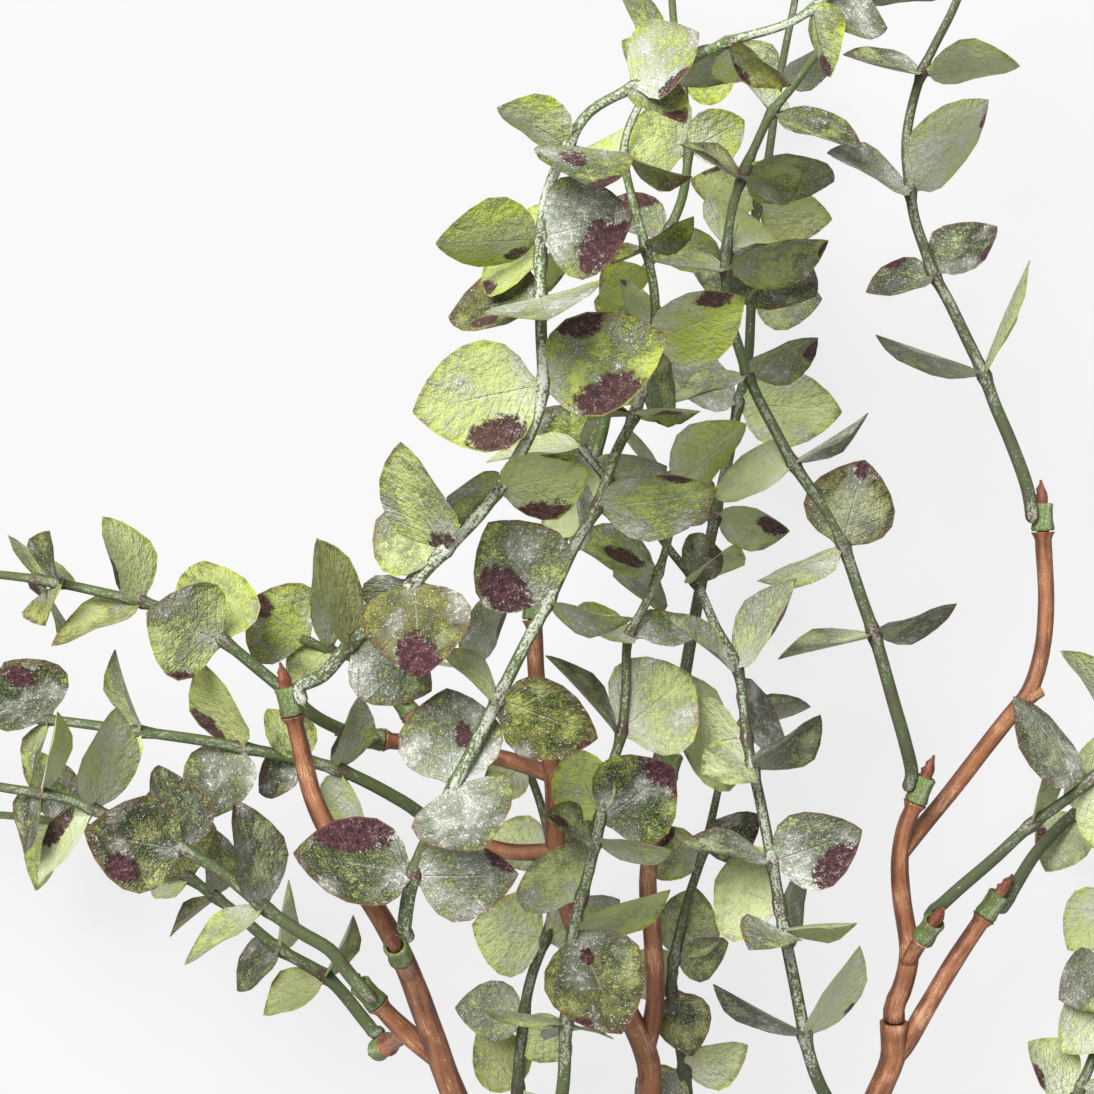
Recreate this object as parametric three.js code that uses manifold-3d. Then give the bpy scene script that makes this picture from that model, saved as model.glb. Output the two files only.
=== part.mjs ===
// Artificial eucalyptus branch lying on a flat surface.
// Forked brown twigs carry moulded leafy shoots, each pushed on a peg by its collar.
// Millimetres, +Z up, +Y from the cut butt towards the tips.
import * as THREE from 'three';
import { mergeVertices } from 'three/addons/utils/BufferGeometryUtils.js';
import Module from 'manifold-3d';

const wasm = await Module();
wasm.setup();

// Viewpoint of the picture that the routes are read from: columns and rows of its
// square frame, seen from straight above.
const PICTURE_CENTRE = 547;
const LENS_HEIGHT = 900;
const FOCAL_PIXELS = 3200;

// Leaf sizes
const LEAF_THICKNESS = 0.8;
const LEAF_LENGTH = 27;
const LEAF_WIDTH_RATIO = 0.88;
const LEAF_DISH = 2.6;
const LEAF_ROOT_WIDTH = 1.2;
const LEAF_ROOT_START = 0.4;
const LEAF_NECK = 3;
const LEAF_BASE_POWER = 0.5;
const LEAF_TIP_POWER = 0.8;
const RIM_STATIONS = [0.3, 0.74];

// Leaf pairs by rule: turn and spread in degrees, length of the first and its drop per pair
const PAIR_TURN = 90;
const TURN_SPREAD = 30;
const PAIR_TILT = 52;
const TILT_SPREAD = 16;
const FIRST_SHARE = 0.92;
const SHARE_DROP = 0.08;
const SEED_STEP = 7;
const TILT_SEED = 0.37;
const DRAW_RATE = 12.9898;
const DRAW_SCALE = 43758.5453;

// Shoot stems and the collars beside their lower ends
const STEM_RADIUS = 1.75;
const STEM_TIP_RADIUS = 0.9;
const STEM_SIDES = 5;
const STEM_STEP_LENGTH = 19;
const COLLAR_RADIUS = 3.3;
const COLLAR_BORE = 2.25;
const COLLAR_LENGTH = 7;
const COLLAR_SIDES = 6;
const FOOT_HEIGHT = 2.4;
const FOOT_SINK = 0.4;
const KNEE_LEAN = 0.3;
const BORE_BELOW = 5;
const BORE_ABOVE = 8;

// Brown twigs, their pegs, lips and plug joints
const TWIG_SIDES = 6;
const TWIG_STEP_LENGTH = 32;
const PEG_RADIUS = 1.6;
const BUD_LENGTH = 5;
const BUD_TIP_RADIUS = 0.5;
const LIP_RADIUS = 3.5;
const LIP_LENGTH = 2;
const GAP = 0.3;
const SOCKET_RADIUS = 2.6;
const PLUG_RADIUS = 1.9;
const PLUG_LENGTH = 9;
const SLEEVE_EXTRA = 1;
const SLEEVE_POWER = 8;
const PEG_EXTRA = 1;
const PLUG_LEAD = 4;
const HOLE_ABOVE = 2;

// Bend-clear rule: how near two pieces may come and the swings that are tried
const LEAF_CLEARANCE = 2.8;
const OWN_CLEARANCE = 1.3;
const STEM_CLEARANCE = 2.2;
const REACH_SHARE = 0.6;
const SAMPLE_ROWS = 9;
const SAMPLE_COLUMNS = 9;
const CURVE_SAMPLES = 240;
const SWINGS = [0, 7, -7, 14, -14, 22, -22, 32, -32, 44, -44, 56, -56];
const SPINS = [0, 24, -24, 48, -48];

// Middle of the branch on the surface, which becomes the origin
const ORIGIN_X = 4.4;
const ORIGIN_Y = -75.1;

// Block below the surface that trims what would reach through it
const FLOOR_WIDTH = 900;
const FLOOR_LENGTH = 1200;
const FLOOR_DEPTH = 60;

const UP = new THREE.Vector3(0, 0, 1);

const LEAF_COLOUR = 0x7c8a55;
const TWIG_COLOUR = 0x8f5538;

// Brown pieces: arms are [column, row, height] routes; `holds` is the shoot on its peg.
const TWIGS = [
  {
    name: 'trunk',
    arms: [
      { route: [[633, 1734, 5], [633, 1600, 9], [628, 1480, 20], [600, 1400, 40], [545, 1290, 72]],
        radii: [6.5, 4.6], socket: true },
      { route: [[628, 1490, 19], [640, 1430, 28], [642, 1370, 38]], radii: [5, 4.4], socket: true },
      { route: [[630, 1520, 16], [690, 1410, 32], [770, 1300, 50]], radii: [5.5, 4.6], socket: true },
    ],
  },
  {
    name: 'twig_left',
    plug: true,
    arms: [
      { route: [[545, 1290, 72], [500, 1190, 95], [465, 1120, 108], [446, 1075, 115],
        [429, 1025, 124], [407, 968, 135], [384, 923, 137], [345, 860, 137],
        [315, 802, 136], [300, 745, 136], [293, 716, 137]],
        radii: [4.6, 2.4], holds: 'shoot_front_tall' },
      { route: [[409, 975, 134], [405, 966, 139], [401, 958, 143]], radii: [2.6, 2.4],
        holds: 'shoot_front_crossing' },
      { route: [[440, 1058, 118], [415, 1040, 118], [395, 1022, 120], [378, 1004, 122]],
        radii: [3.4, 2.6], holds: 'shoot_lower_left' },
      { route: [[404, 1030, 119], [398, 1038, 112], [388, 1044, 106]], radii: [2.8, 2.4],
        holds: 'shoot_lower_left_back' },
      { route: [[500, 1190, 95], [518, 1184, 95], [532, 1172, 95]], radii: [3, 2.4],
        holds: 'shoot_centre' },
    ],
  },
  {
    name: 'twig_middle',
    plug: true,
    arms: [
      { route: [[642, 1370, 38], [648, 1200, 54], [650, 1090, 62], [645, 1050, 66],
        [620, 1000, 70], [578, 935, 76], [557, 850, 80], [553, 775, 82],
        [538, 690, 82], [534, 620, 82]],
        radii: [4.4, 2.4], holds: 'shoot_back_centre' },
      { route: [[645, 1052, 66], [655, 1000, 66], [652, 930, 64], [648, 880, 62],
        [655, 820, 58], [666, 780, 55]], radii: [3, 2.4], holds: 'shoot_back_right' },
      { route: [[557, 852, 80], [512, 852, 77], [468, 842, 77]], radii: [2.6, 2.4],
        holds: 'shoot_left' },
      { route: [[553, 775, 82], [500, 758, 72], [430, 745, 66], [384, 740, 70]],
        radii: [2.6, 2.4], holds: 'shoot_upper_left' },
      { route: [[440, 750, 70], [424, 734, 66], [412, 716, 64]], radii: [2.4, 2.4],
        holds: 'shoot_left_short' },
      { route: [[647, 1215, 53], [666, 1192, 49], [680, 1176, 46]], radii: [2.8, 2.4],
        holds: 'shoot_back_low_right' },
      { route: [[646, 1250, 50], [600, 1232, 44], [550, 1200, 40]], radii: [3, 2.4],
        holds: 'shoot_back_low' },
    ],
  },
  {
    name: 'twig_right',
    plug: true,
    arms: [
      { route: [[770, 1300, 50], [840, 1180, 64], [866, 1120, 72], [884, 1080, 76],
        [893, 1055, 77], [894, 1022, 79]], radii: [4.6, 3.2], socket: true },
      { route: [[890, 1062, 77], [905, 1045, 77], [925, 1010, 79], [955, 960, 81], [984, 917, 83]],
        radii: [3, 2.5], holds: 'shoot_right_low' },
      { route: [[842, 1177, 65], [850, 1160, 70], [853, 1146, 77]], radii: [2.8, 2.4],
        holds: 'shoot_right_centre' },
      { route: [[800, 1248, 57], [880, 1240, 52], [950, 1212, 50], [985, 1188, 50]],
        radii: [3, 2.4], holds: 'shoot_corner' },
    ],
  },
  {
    name: 'twig_right_upper',
    plug: true,
    arms: [
      { route: [[894, 1022, 79], [903, 985, 80], [909, 950, 81], [902, 900, 82],
        [900, 860, 83], [905, 828, 84], [915, 803, 85]], radii: [3.2, 2.4],
        holds: 'shoot_right' },
      { route: [[907, 962, 81], [916, 948, 84], [923, 938, 87]], radii: [2.6, 2.3],
        holds: 'shoot_right_high' },
      { route: [[902, 852, 83], [924, 824, 78], [952, 790, 77], [980, 754, 80], [1010, 716, 83],
        [1030, 690, 85], [1042, 650, 84], [1046, 600, 84], [1043, 532, 84]],
        radii: [2.5, 2.4], holds: 'shoot_far_right' },
      { route: [[1028, 698, 85], [1036, 693, 85], [1042, 690, 85]], radii: [2.4, 1.8] },
    ],
  },
];

// Leafy shoots: the route starts above the collar. Each pair gives the picture place of its
// node and its leaves as [tip column, tip row, rise of the tip, roll about the midrib, width].
// A fill adds decussate pairs by rule between two fractions of the route.
const SHOOTS = [
  {
    name: 'shoot_front_tall',
    route: [[323, 675, 146], [350, 645, 150], [413, 583, 157], [447, 548, 160],
      [483, 510, 162], [515, 462, 164], [534, 424, 166], [543, 386, 167], [541, 325, 168],
      [541, 239, 170], [548, 191, 171], [569, 143, 172], [591, 111, 172], [632, 88, 172],
      [680, 65, 171], [728, 42, 170], [795, 20, 167], [850, -25, 162], [880, -75, 156]],
    pairs: [
      { at: [543, 386], leaves: [[413, 412, 4, 0, 26], [667, 335, 6, 0, 24]] },
      { at: [501, 491], leaves: [[590, 472, 3, 54, 26], [446, 496, 6, -54, 20]] },
      { at: [445, 552], leaves: [[423, 432, 4, -50, 26], [376, 520, -12, 10, 22]] },
      { at: [413, 583], leaves: [[420, 677, 10, 0, 26], [396, 640, -18, 20, 22]] },
      { at: [541, 300], leaves: [[549, 322, 24, 0, 27], [447, 314, -12, 45]] },
      { at: [541, 237], leaves: [[436, 245, 6, 130], [634, 214, 8, 0, 24]] },
      { at: [541, 262], leaves: [[468, 247, -10, 20, 25], [571, 262, -15, 50, 18]] },
      { at: [569, 143], leaves: [[498, 105, 4, 125], [598, 188, 19, -32, 23]] },
      { at: [634, 90], leaves: [[700, 34, 4, -45, 26], [686, 124, 6, -40]] },
      { at: [350, 645], leaves: [[318, 540, 6, 68], [425, 676, -12, 15]] },
      { at: [728, 42], leaves: [[792, 84, 2, 72], [752, 78, -12, 40]] },
      { at: [815, 5], leaves: [[829, 77, 4, 246], [886, 30, -6, -45, 22]] },
    ],
    fill: { from: 0.97, to: 1, count: 1 },
  },
  {
    name: 'shoot_front_crossing',
    route: [[404, 928, 149], [412, 880, 151], [432, 830, 151], [455, 785, 151],
      [480, 735, 150], [499, 697, 149], [525, 645, 148], [548, 602, 147], [575, 545, 145],
      [597, 507, 143], [615, 455, 141], [635, 413, 139], [650, 357, 137], [655, 325, 136],
      [654, 290, 135], [646, 250, 135], [634, 205, 134], [624, 160, 133], [628, 130, 132],
      [645, 95, 129], [662, 70, 126]],
    pairs: [
      { at: [412, 875], leaves: [[293, 854, 4, 42, 26], [518, 875, 4, 20]] },
      { at: [455, 785], leaves: [[482, 850, 16, 0, 26], [446, 684, -8, 0, 25]] },
      { at: [499, 697], leaves: [[424, 676, 4, 62], [598, 738, 2, 25]] },
      { at: [548, 602], leaves: [[490, 525, 7, 0, 25], [633, 621, 2, 70]] },
      { at: [597, 507], leaves: [[718, 491, 4, 50, 25], [580, 522, -20, 40]] },
      { at: [635, 413], leaves: [[700, 411, 2, 84], [588, 419, 2, 84]] },
      { at: [643, 392], leaves: [[674, 385, -20, 10]] },
      { at: [653, 342], leaves: [[745, 299, 2, 46, 25], [628, 292, -20, 60]] },
      { at: [646, 250], leaves: [[694, 217, 4, 62], [612, 266, 4, 60]] },
      { at: [624, 160], leaves: [[692, 178, 2, 76], [585, 150, -14, 40]] },
    ],
    fill: { from: 0.97, to: 1, count: 1 },
  },
  {
    name: 'shoot_centre',
    route: [[545, 1150, 98], [562, 1094, 102], [566, 1023, 106], [572, 940, 109],
      [592, 858, 111], [608, 780, 112], [621, 735, 112], [626, 688, 112], [628, 640, 111],
      [645, 605, 108], [662, 562, 104], [672, 520, 98], [672, 485, 92]],
    pairs: [
      { at: [566, 1025], leaves: [[480, 1008, 2, -80], [592, 1028, -20, 60]] },
      { at: [574, 932], leaves: [[622, 1034, 6, 0, 26], [670, 889, 4, 62]] },
      { at: [583, 900], leaves: [[532, 860, -14, 20, 24]] },
      { at: [594, 842], leaves: [[546, 815, 10, 62, 15], [672, 849, 10, 62, 16]] },
      { at: [601, 820], leaves: [[566, 748, -4, -20], [674, 768, 0, 10, 25]] },
      { at: [621, 733], leaves: [[546, 655, 2, 80], [692, 674, -7, 0, 27]] },
      { at: [628, 636], leaves: [[565, 620, 8, 62], [703, 622, -6, -50, 15]] },
      { at: [658, 572], leaves: [[568, 538, 2, 62, 24], [716, 534, -24, 10, 23]] },
    ],
    fill: { from: 0.98, to: 1, count: 1 },
  },
  {
    name: 'shoot_right_centre',
    route: [[838, 1118, 88], [820, 1085, 95], [808, 1050, 99], [795, 985, 103],
      [785, 935, 105], [772, 862, 107], [760, 800, 108], [748, 745, 108], [738, 670, 107],
      [715, 625, 105], [697, 585, 102], [670, 550, 90], [640, 510, 84], [603, 475, 96],
      [580, 445, 98]],
    pairs: [
      { at: [805, 1035], leaves: [[714, 983, 4, -72], [860, 946, 4, 60]] },
      { at: [785, 932], leaves: [[750, 947, 16, 60], [857, 925, 4, 70]] },
      { at: [771, 862], leaves: [[680, 836, 5, 78], [862, 830, 4, 10]] },
      { at: [781, 905], leaves: [[708, 878, -12, 0, 25], [806, 900, -14, 10, 22]] },
      { at: [758, 768], leaves: [[702, 778, 4, 62, 23], [821, 716, 6, 60, 23]] },
      { at: [738, 670], leaves: [[797, 579, 4, -66, 22], [632, 648, 16, 50, 13]] },
      { at: [694, 582], leaves: [[658, 594, 15, 60, 12], [734, 543, 10, 66, 20]] },
      { at: [752, 735], leaves: [[684, 748, -20, 0, 25], [768, 700, -22, 20, 22]] },
      { at: [603, 475], leaves: [[665, 430, 0, 35], [560, 535, -14, 40]] },
    ],
    fill: { from: 0.99, to: 1, count: 1 },
  },
  {
    name: 'shoot_right',
    route: [[905, 742, 92], [893, 700, 93], [876, 640, 94], [862, 600, 94], [843, 545, 94],
      [825, 510, 94], [793, 463, 94], [775, 430, 94], [752, 385, 94], [738, 345, 94],
      [728, 310, 94], [726, 265, 94], [731, 215, 94], [742, 178, 94], [758, 140, 94],
      [772, 112, 94], [790, 90, 94], [812, 60, 94], [845, 15, 94], [880, -45, 92]],
    pairs: [
      { at: [872, 636], leaves: [[956, 602, 2, 70, 24], [778, 657, 2, 82]] },
      { at: [843, 545], leaves: [[865, 460, 2, 188, 24], [758, 583, 2, 252]] },
      { at: [793, 463], leaves: [[870, 416, 2, 82], [702, 474, -12, 50]] },
      { at: [746, 374], leaves: [[818, 338, 4, 65, 24], [672, 404, 2, 70]] },
      { at: [727, 268], leaves: [[829, 242, 4, 62], [650, 262, 2, 68]] },
      { at: [772, 112], leaves: [[861, 149, 4, -58], [742, 72, -12, 60]] },
      { at: [742, 178], leaves: [[682, 142, 2, 70], [798, 187, 10, 72]] },
      { at: [727, 250], leaves: [[744, 212, -20, 10, 23], [816, 296, -16, 40, 22]] },
      { at: [748, 165], leaves: [[834, 182, -12, 58, 22]] },
    ],
    fill: { from: 0.97, to: 1, count: 1 },
  },
  {
    name: 'shoot_far_right',
    route: [[1025, 480, 88], [1010, 440, 88], [995, 405, 88], [984, 375, 88], [965, 335, 88],
      [948, 300, 88], [934, 275, 88], [925, 250, 88], [915, 220, 88], [910, 190, 88],
      [906, 150, 88], [910, 115, 88], [922, 72, 88], [935, 45, 88], [955, 5, 87],
      [975, -50, 84], [990, -100, 80]],
    pairs: [
      { at: [984, 375], leaves: [[876, 335, 2, -84], [1031, 261, 2, 84]] },
      { at: [934, 273], leaves: [[866, 293, -2, 62, 22], [996, 225, 0, -54, 23]] },
      { at: [911, 190], leaves: [[818, 172, 6, 58], [989, 100, 2, 232]] },
      { at: [922, 72], leaves: [[843, 55, 2, 66], [1020, 67, 2, 248]] },
    ],
    fill: { from: 0.86, to: 1, count: 2 },
  },
  {
    name: 'shoot_right_low',
    route: [[1014, 888, 82], [1040, 848, 77], [1078, 812, 70], [1125, 795, 60],
      [1170, 796, 41], [1205, 812, 17]],
    pairs: [
      { at: [1078, 812], leaves: [[1046, 872, 2, 15], [1100, 735, 2, 30]] },
    ],
    fill: { from: 0.7, to: 0.99, count: 2 },
  },
  {
    name: 'shoot_right_high',
    route: [[940, 906, 92], [960, 888, 95], [995, 858, 99], [1030, 826, 102],
      [1088, 782, 102], [1125, 735, 98], [1145, 680, 92], [1150, 620, 86]],
    pairs: [
      { at: [1032, 824], leaves: [[1048, 757, 4, 60]] },
      { at: [1088, 782], leaves: [[1002, 705, 2, 235], [1160, 850, 0, 30]] },
    ],
    fill: { from: 0.72, to: 1, count: 2 },
  },
  {
    name: 'shoot_lower_left',
    route: [[350, 975, 127], [330, 950, 128], [300, 932, 128], [265, 908, 128], [225, 875, 128],
      [185, 850, 127], [150, 832, 126], [100, 812, 124], [60, 797, 121], [0, 787, 114],
      [-60, 775, 100], [-105, 765, 84]],
    pairs: [
      { at: [264, 906], leaves: [[238, 800, 2, 62], [185, 965, 2, 74]] },
      { at: [184, 850], leaves: [[84, 832, 7, 0, 24], [160, 764, -10, 55]] },
      { at: [95, 810], leaves: [[36, 883, -8, 60, 18], [116, 707, 2, 60]] },
      { at: [42, 792], leaves: [[60, 712, 2, 82], [34, 853, -8, 64, 20]] },
    ],
    fill: { from: 0.78, to: 1, count: 2 },
  },
  {
    name: 'shoot_lower_left_back',
    route: [[366, 1022, 94], [328, 978, 84], [278, 948, 74], [230, 908, 66], [180, 872, 58],
      [120, 838, 48], [60, 822, 37], [0, 815, 25], [-50, 815, 12]],
    pairs: [
      { at: [326, 977], leaves: [[264, 1016, 0, 64, 20], [353, 915, 0, 75]] },
      { at: [278, 948], leaves: [[236, 990, -2, 62, 20], [290, 880, -10, 82, 20]] },
      { at: [212, 898], leaves: [[168, 934, 0, 82], [218, 830, 0, 60]] },
      { at: [190, 880], leaves: [[150, 888, -2, 60, 20], [150, 790, -8, 20]] },
      { at: [60, 822], leaves: [[33, 890, -4, 50], [40, 752, -4, 50]] },
    ],
    fill: { from: 0.97, to: 1, count: 1 },
  },
  {
    name: 'shoot_left',
    route: [[432, 822, 80], [400, 800, 84], [345, 772, 89], [290, 757, 92], [243, 748, 94],
      [200, 740, 95], [143, 732, 95], [100, 726, 94], [50, 720, 91], [0, 718, 84],
      [-60, 716, 72], [-110, 716, 58]],
    pairs: [
      { at: [338, 770], leaves: [[334, 690, 0, 60], [372, 868, -14, 58, 21]] },
      { at: [305, 760], leaves: [[258, 792, -6, 35], [268, 708, -6, 45]] },
      { at: [243, 748], leaves: [[200, 660, 4, -54, 23], [197, 820, 4, 38, 24]] },
      { at: [141, 732], leaves: [[114, 650, 4, -68], [92, 798, 2, 45]] },
      { at: [48, 720], leaves: [[4, 662, 2, 0, 23], [26, 785, 2, 65]] },
    ],
    fill: { from: 0.82, to: 1, count: 2 },
  },
  {
    name: 'shoot_upper_left',
    route: [[352, 734, 84], [318, 718, 93], [290, 695, 99], [262, 672, 102], [225, 642, 104],
      [190, 618, 105], [142, 602, 105], [100, 592, 104], [58, 583, 102], [20, 577, 97],
      [-30, 572, 88], [-80, 568, 76]],
    pairs: [
      { at: [224, 642], leaves: [[146, 612, 9, 0, 26], [205, 560, -18, 30, 22]] },
      { at: [142, 602], leaves: [[102, 517, 4, 62], [52, 647, 4, 66]] },
      { at: [58, 583], leaves: [[49, 531, 6, -64, 22], [44, 625, 6, 62, 22]] },
      { at: [40, 580], leaves: [[28, 546, -14, 70, 22], [33, 635, -8, 58, 22]] },
    ],
    fill: { from: 0.97, to: 1, count: 1 },
  },
  {
    name: 'shoot_left_short',
    route: [[400, 690, 66], [372, 665, 68], [335, 652, 70], [300, 638, 72]],
    pairs: [
      { at: [372, 665], leaves: [[352, 600, 0, 30], [372, 696, 10, 20]] },
      { at: [330, 650], leaves: [[318, 538, 4, 64, 22], [288, 688, 2, 30]] },
      { at: [308, 641], leaves: [[250, 600, 0, 0, 24]] },
    ],
  },
  {
    name: 'shoot_back_centre',
    route: [[545, 575, 82], [575, 510, 81], [600, 440, 80], [608, 395, 79], [615, 340, 78],
      [630, 300, 77], [650, 262, 76], [668, 232, 75], [684, 190, 73], [688, 130, 70],
      [678, 60, 66], [672, 0, 60], [672, -40, 54]],
    pairs: [
      { at: [592, 460], leaves: [[542, 405, 6, 10], [650, 470, -6, 40]] },
      { at: [612, 365], leaves: [[560, 340, 6, 40], [665, 395, -4, 40]] },
      { at: [630, 300], leaves: [[604, 262, 14, 0], [612, 332, -16, 20]] },
      { at: [668, 232], leaves: [[600, 205, -2, 40], [722, 262, -4, 40]] },
      { at: [686, 150], leaves: [[630, 125, 0, 10, 24], [745, 120, -2, 10]] },
      { at: [682, 85], leaves: [[622, 40, 0, 30], [738, 70, -2, 10]] },
    ],
    fill: { from: 0.97, to: 1, count: 1 },
  },
  {
    name: 'shoot_back_right',
    route: [[674, 745, 52], [684, 680, 48], [700, 590, 43], [717, 508, 40], [728, 460, 38],
      [737, 410, 36], [748, 360, 34], [751, 310, 33], [756, 215, 32], [768, 160, 31],
      [777, 95, 30], [785, 50, 26], [795, 0, 20], [802, -45, 11]],
    pairs: [
      { at: [716, 515], leaves: [[790, 530, 2, 50], [650, 480, 0, 30]] },
      { at: [739, 402], leaves: [[842, 412, 2, 10, 22], [650, 372, 0, 50]] },
      { at: [752, 295], leaves: [[822, 300, 2, 20], [690, 262, -2, 30]] },
      { at: [757, 205], leaves: [[832, 220, 0, 40], [690, 180, 0, 30]] },
      { at: [780, 80], leaves: [[840, 45, 0, 60], [722, 50, 0, 30]] },
    ],
    fill: { from: 0.97, to: 1, count: 1 },
  },
  {
    name: 'shoot_back_low',
    route: [[520, 1150, 42], [518, 1085, 46], [524, 1015, 50], [532, 975, 52], [548, 930, 55],
      [556, 880, 57], [545, 820, 58], [528, 770, 58], [500, 715, 56], [475, 665, 52]],
    pairs: [
      { at: [518, 1090], leaves: [[478, 1030, 0, 20], [545, 1160, 0, 30]] },
      { at: [524, 1015], leaves: [[455, 1008, 2, 20], [570, 1060, -2, 20]] },
      { at: [545, 940], leaves: [[472, 925, 2, 0, 23], [620, 900, 0, 30]] },
      { at: [552, 850], leaves: [[482, 842, 0, 30], [600, 800, 0, 20]] },
      { at: [524, 765], leaves: [[486, 800, 2, 10], [560, 710, 0, 10]] },
    ],
    fill: { from: 0.98, to: 1, count: 1 },
  },
  {
    name: 'shoot_back_low_right',
    route: [[690, 1135, 48], [687, 1094, 51], [682, 1055, 54], [672, 1000, 57], [674, 960, 58],
      [688, 900, 58], [704, 850, 56], [718, 790, 50], [728, 735, 42]],
    pairs: [
      { at: [685, 1070], leaves: [[748, 1046, 2, 30], [640, 1125, -4, 30]] },
      { at: [672, 992], leaves: [[692, 1056, 2, 0], [618, 960, -8, 30]] },
      { at: [674, 960], leaves: [[708, 892, 4, 10], [730, 945, -6, 30]] },
      { at: [704, 850], leaves: [[760, 815, -2, 30], [640, 865, -4, 30]] },
    ],
    fill: { from: 0.98, to: 1, count: 1 },
  },
  {
    name: 'shoot_corner',
    route: [[1010, 1165, 50], [1060, 1120, 47], [1092, 1060, 44], [1108, 990, 40],
      [1116, 920, 34], [1120, 860, 26]],
    pairs: [
      { at: [1078, 1090], leaves: [[1028, 1042, 2, 30], [1150, 1110, 0, 30]] },
      { at: [1105, 1005], leaves: [[1056, 1056, 4, 10], [1175, 975, 0, 20]] },
      { at: [1110, 970], leaves: [[1058, 1000, 12, 10], [1128, 1050, -12, 20]] },
      { at: [1118, 895], leaves: [[1068, 950, 2, 20], [1180, 860, -4, 30]] },
    ],
    fill: { from: 0.97, to: 1, count: 1 },
  },
];

// Point in the branch's frame that the picture shows at a column and row, at a given height
function place([column, row, height]) {
  const scale = (LENS_HEIGHT - height) / FOCAL_PIXELS;
  const x = (column - PICTURE_CENTRE) * scale;
  const y = (PICTURE_CENTRE - row) * scale;
  return new THREE.Vector3(x, y, height);
}

// Smooth curve through a list of points
function smoothCurve(points) {
  return new THREE.CatmullRomCurve3(points, false, 'catmullrom', 0.5);
}

// Closed solid from vertex positions and triangle indices
function makeSolid(positions, triangles) {
  const loose = new THREE.BufferGeometry();
  loose.setAttribute('position', new THREE.Float32BufferAttribute(positions, 3));
  loose.setIndex(triangles);
  return solidFromGeometry(loose);
}

function solidFromGeometry(source) {
  const geometry = source.clone();
  geometry.deleteAttribute('normal');
  geometry.deleteAttribute('uv');
  const merged = mergeVertices(geometry, 1e-5);
  return new wasm.Manifold(new wasm.Mesh({
    numProp: 3,
    vertProperties: new Float32Array(merged.attributes.position.array),
    triVerts: new Uint32Array(merged.index.array),
  }));
}

// Round bar along a curve with a cap at each end. `before` and `after` add rings as
// [distance past the end, radius], for plugs, lips, pegs and buds.
function makeBar(curve, radiusAt, sides, steps, before = [], after = []) {
  const frames = curve.computeFrenetFrames(steps, false);
  const rings = [];
  const addRing = (centre, step, radius) => rings.push({
    centre, radius, normal: frames.normals[step], binormal: frames.binormals[step] });
  const foot = curve.getPointAt(0);
  const head = curve.getPointAt(1);
  before.forEach(([distance, radius]) => {
    addRing(foot.clone().addScaledVector(frames.tangents[0], -distance), 0, radius);
  });
  for (let step = 0; step <= steps; step += 1) {
    addRing(curve.getPointAt(step / steps), step, radiusAt(step / steps));
  }
  after.forEach(([distance, radius]) => {
    addRing(head.clone().addScaledVector(frames.tangents[steps], distance), steps, radius);
  });
  return solidFromRings(rings, sides);
}

// Closed solid through a list of rings, first and last ring capped
function solidFromRings(rings, sides) {
  const positions = [];
  const triangles = [];
  rings.forEach(({ centre, radius, normal, binormal }) => {
    for (let side = 0; side < sides; side += 1) {
      const angle = (2 * Math.PI * side) / sides;
      const point = centre.clone();
      point.addScaledVector(normal, radius * Math.cos(angle));
      point.addScaledVector(binormal, radius * Math.sin(angle));
      positions.push(point.x, point.y, point.z);
    }
  });
  for (let ring = 0; ring < rings.length - 1; ring += 1) {
    for (let side = 0; side < sides; side += 1) {
      const a = ring * sides + side;
      const b = ring * sides + ((side + 1) % sides);
      triangles.push(a, b, b + sides, a, b + sides, a + sides);
    }
  }
  const last = (rings.length - 1) * sides;
  for (let side = 1; side < sides - 1; side += 1) {
    triangles.push(0, side + 1, side);
    triangles.push(last, last + side, last + side + 1);
  }
  return makeSolid(positions, triangles);
}

// Straight bar of one radius between two points
function makeRod(start, end, radius, sides) {
  return makeBar(new THREE.LineCurve3(start, end), () => radius, sides, 1);
}

function stepsFor(curve, stepLength) {
  return Math.max(2, Math.round(curve.getLength() / stepLength));
}

// Half-width of a leaf as a share of its widest, from 0 at the root to 0 at the tip
function outlineShare(t) {
  const total = LEAF_BASE_POWER + LEAF_TIP_POWER;
  const widest = LEAF_BASE_POWER / total;
  const peak = widest ** LEAF_BASE_POWER * (1 - widest) ** LEAF_TIP_POWER;
  return (t ** LEAF_BASE_POWER * (1 - t) ** LEAF_TIP_POWER) / peak;
}

// Point on a leaf's middle surface: t runs neck to tip, s runs edge to edge from -1 to 1.
// The edges rise above the midrib, so the blade is a shallow trough.
function leafPoint(leaf, t, s) {
  const half = Math.max((leaf.width / 2) * outlineShare(t), LEAF_ROOT_WIDTH / 2);
  const rise = LEAF_DISH * s * s * Math.sin(Math.PI * t);
  const point = leaf.root.clone();
  point.addScaledVector(leaf.along, LEAF_NECK + (leaf.length - LEAF_NECK) * t);
  point.addScaledVector(leaf.across, half * s);
  return point.addScaledVector(leaf.face, rise);
}

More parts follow.
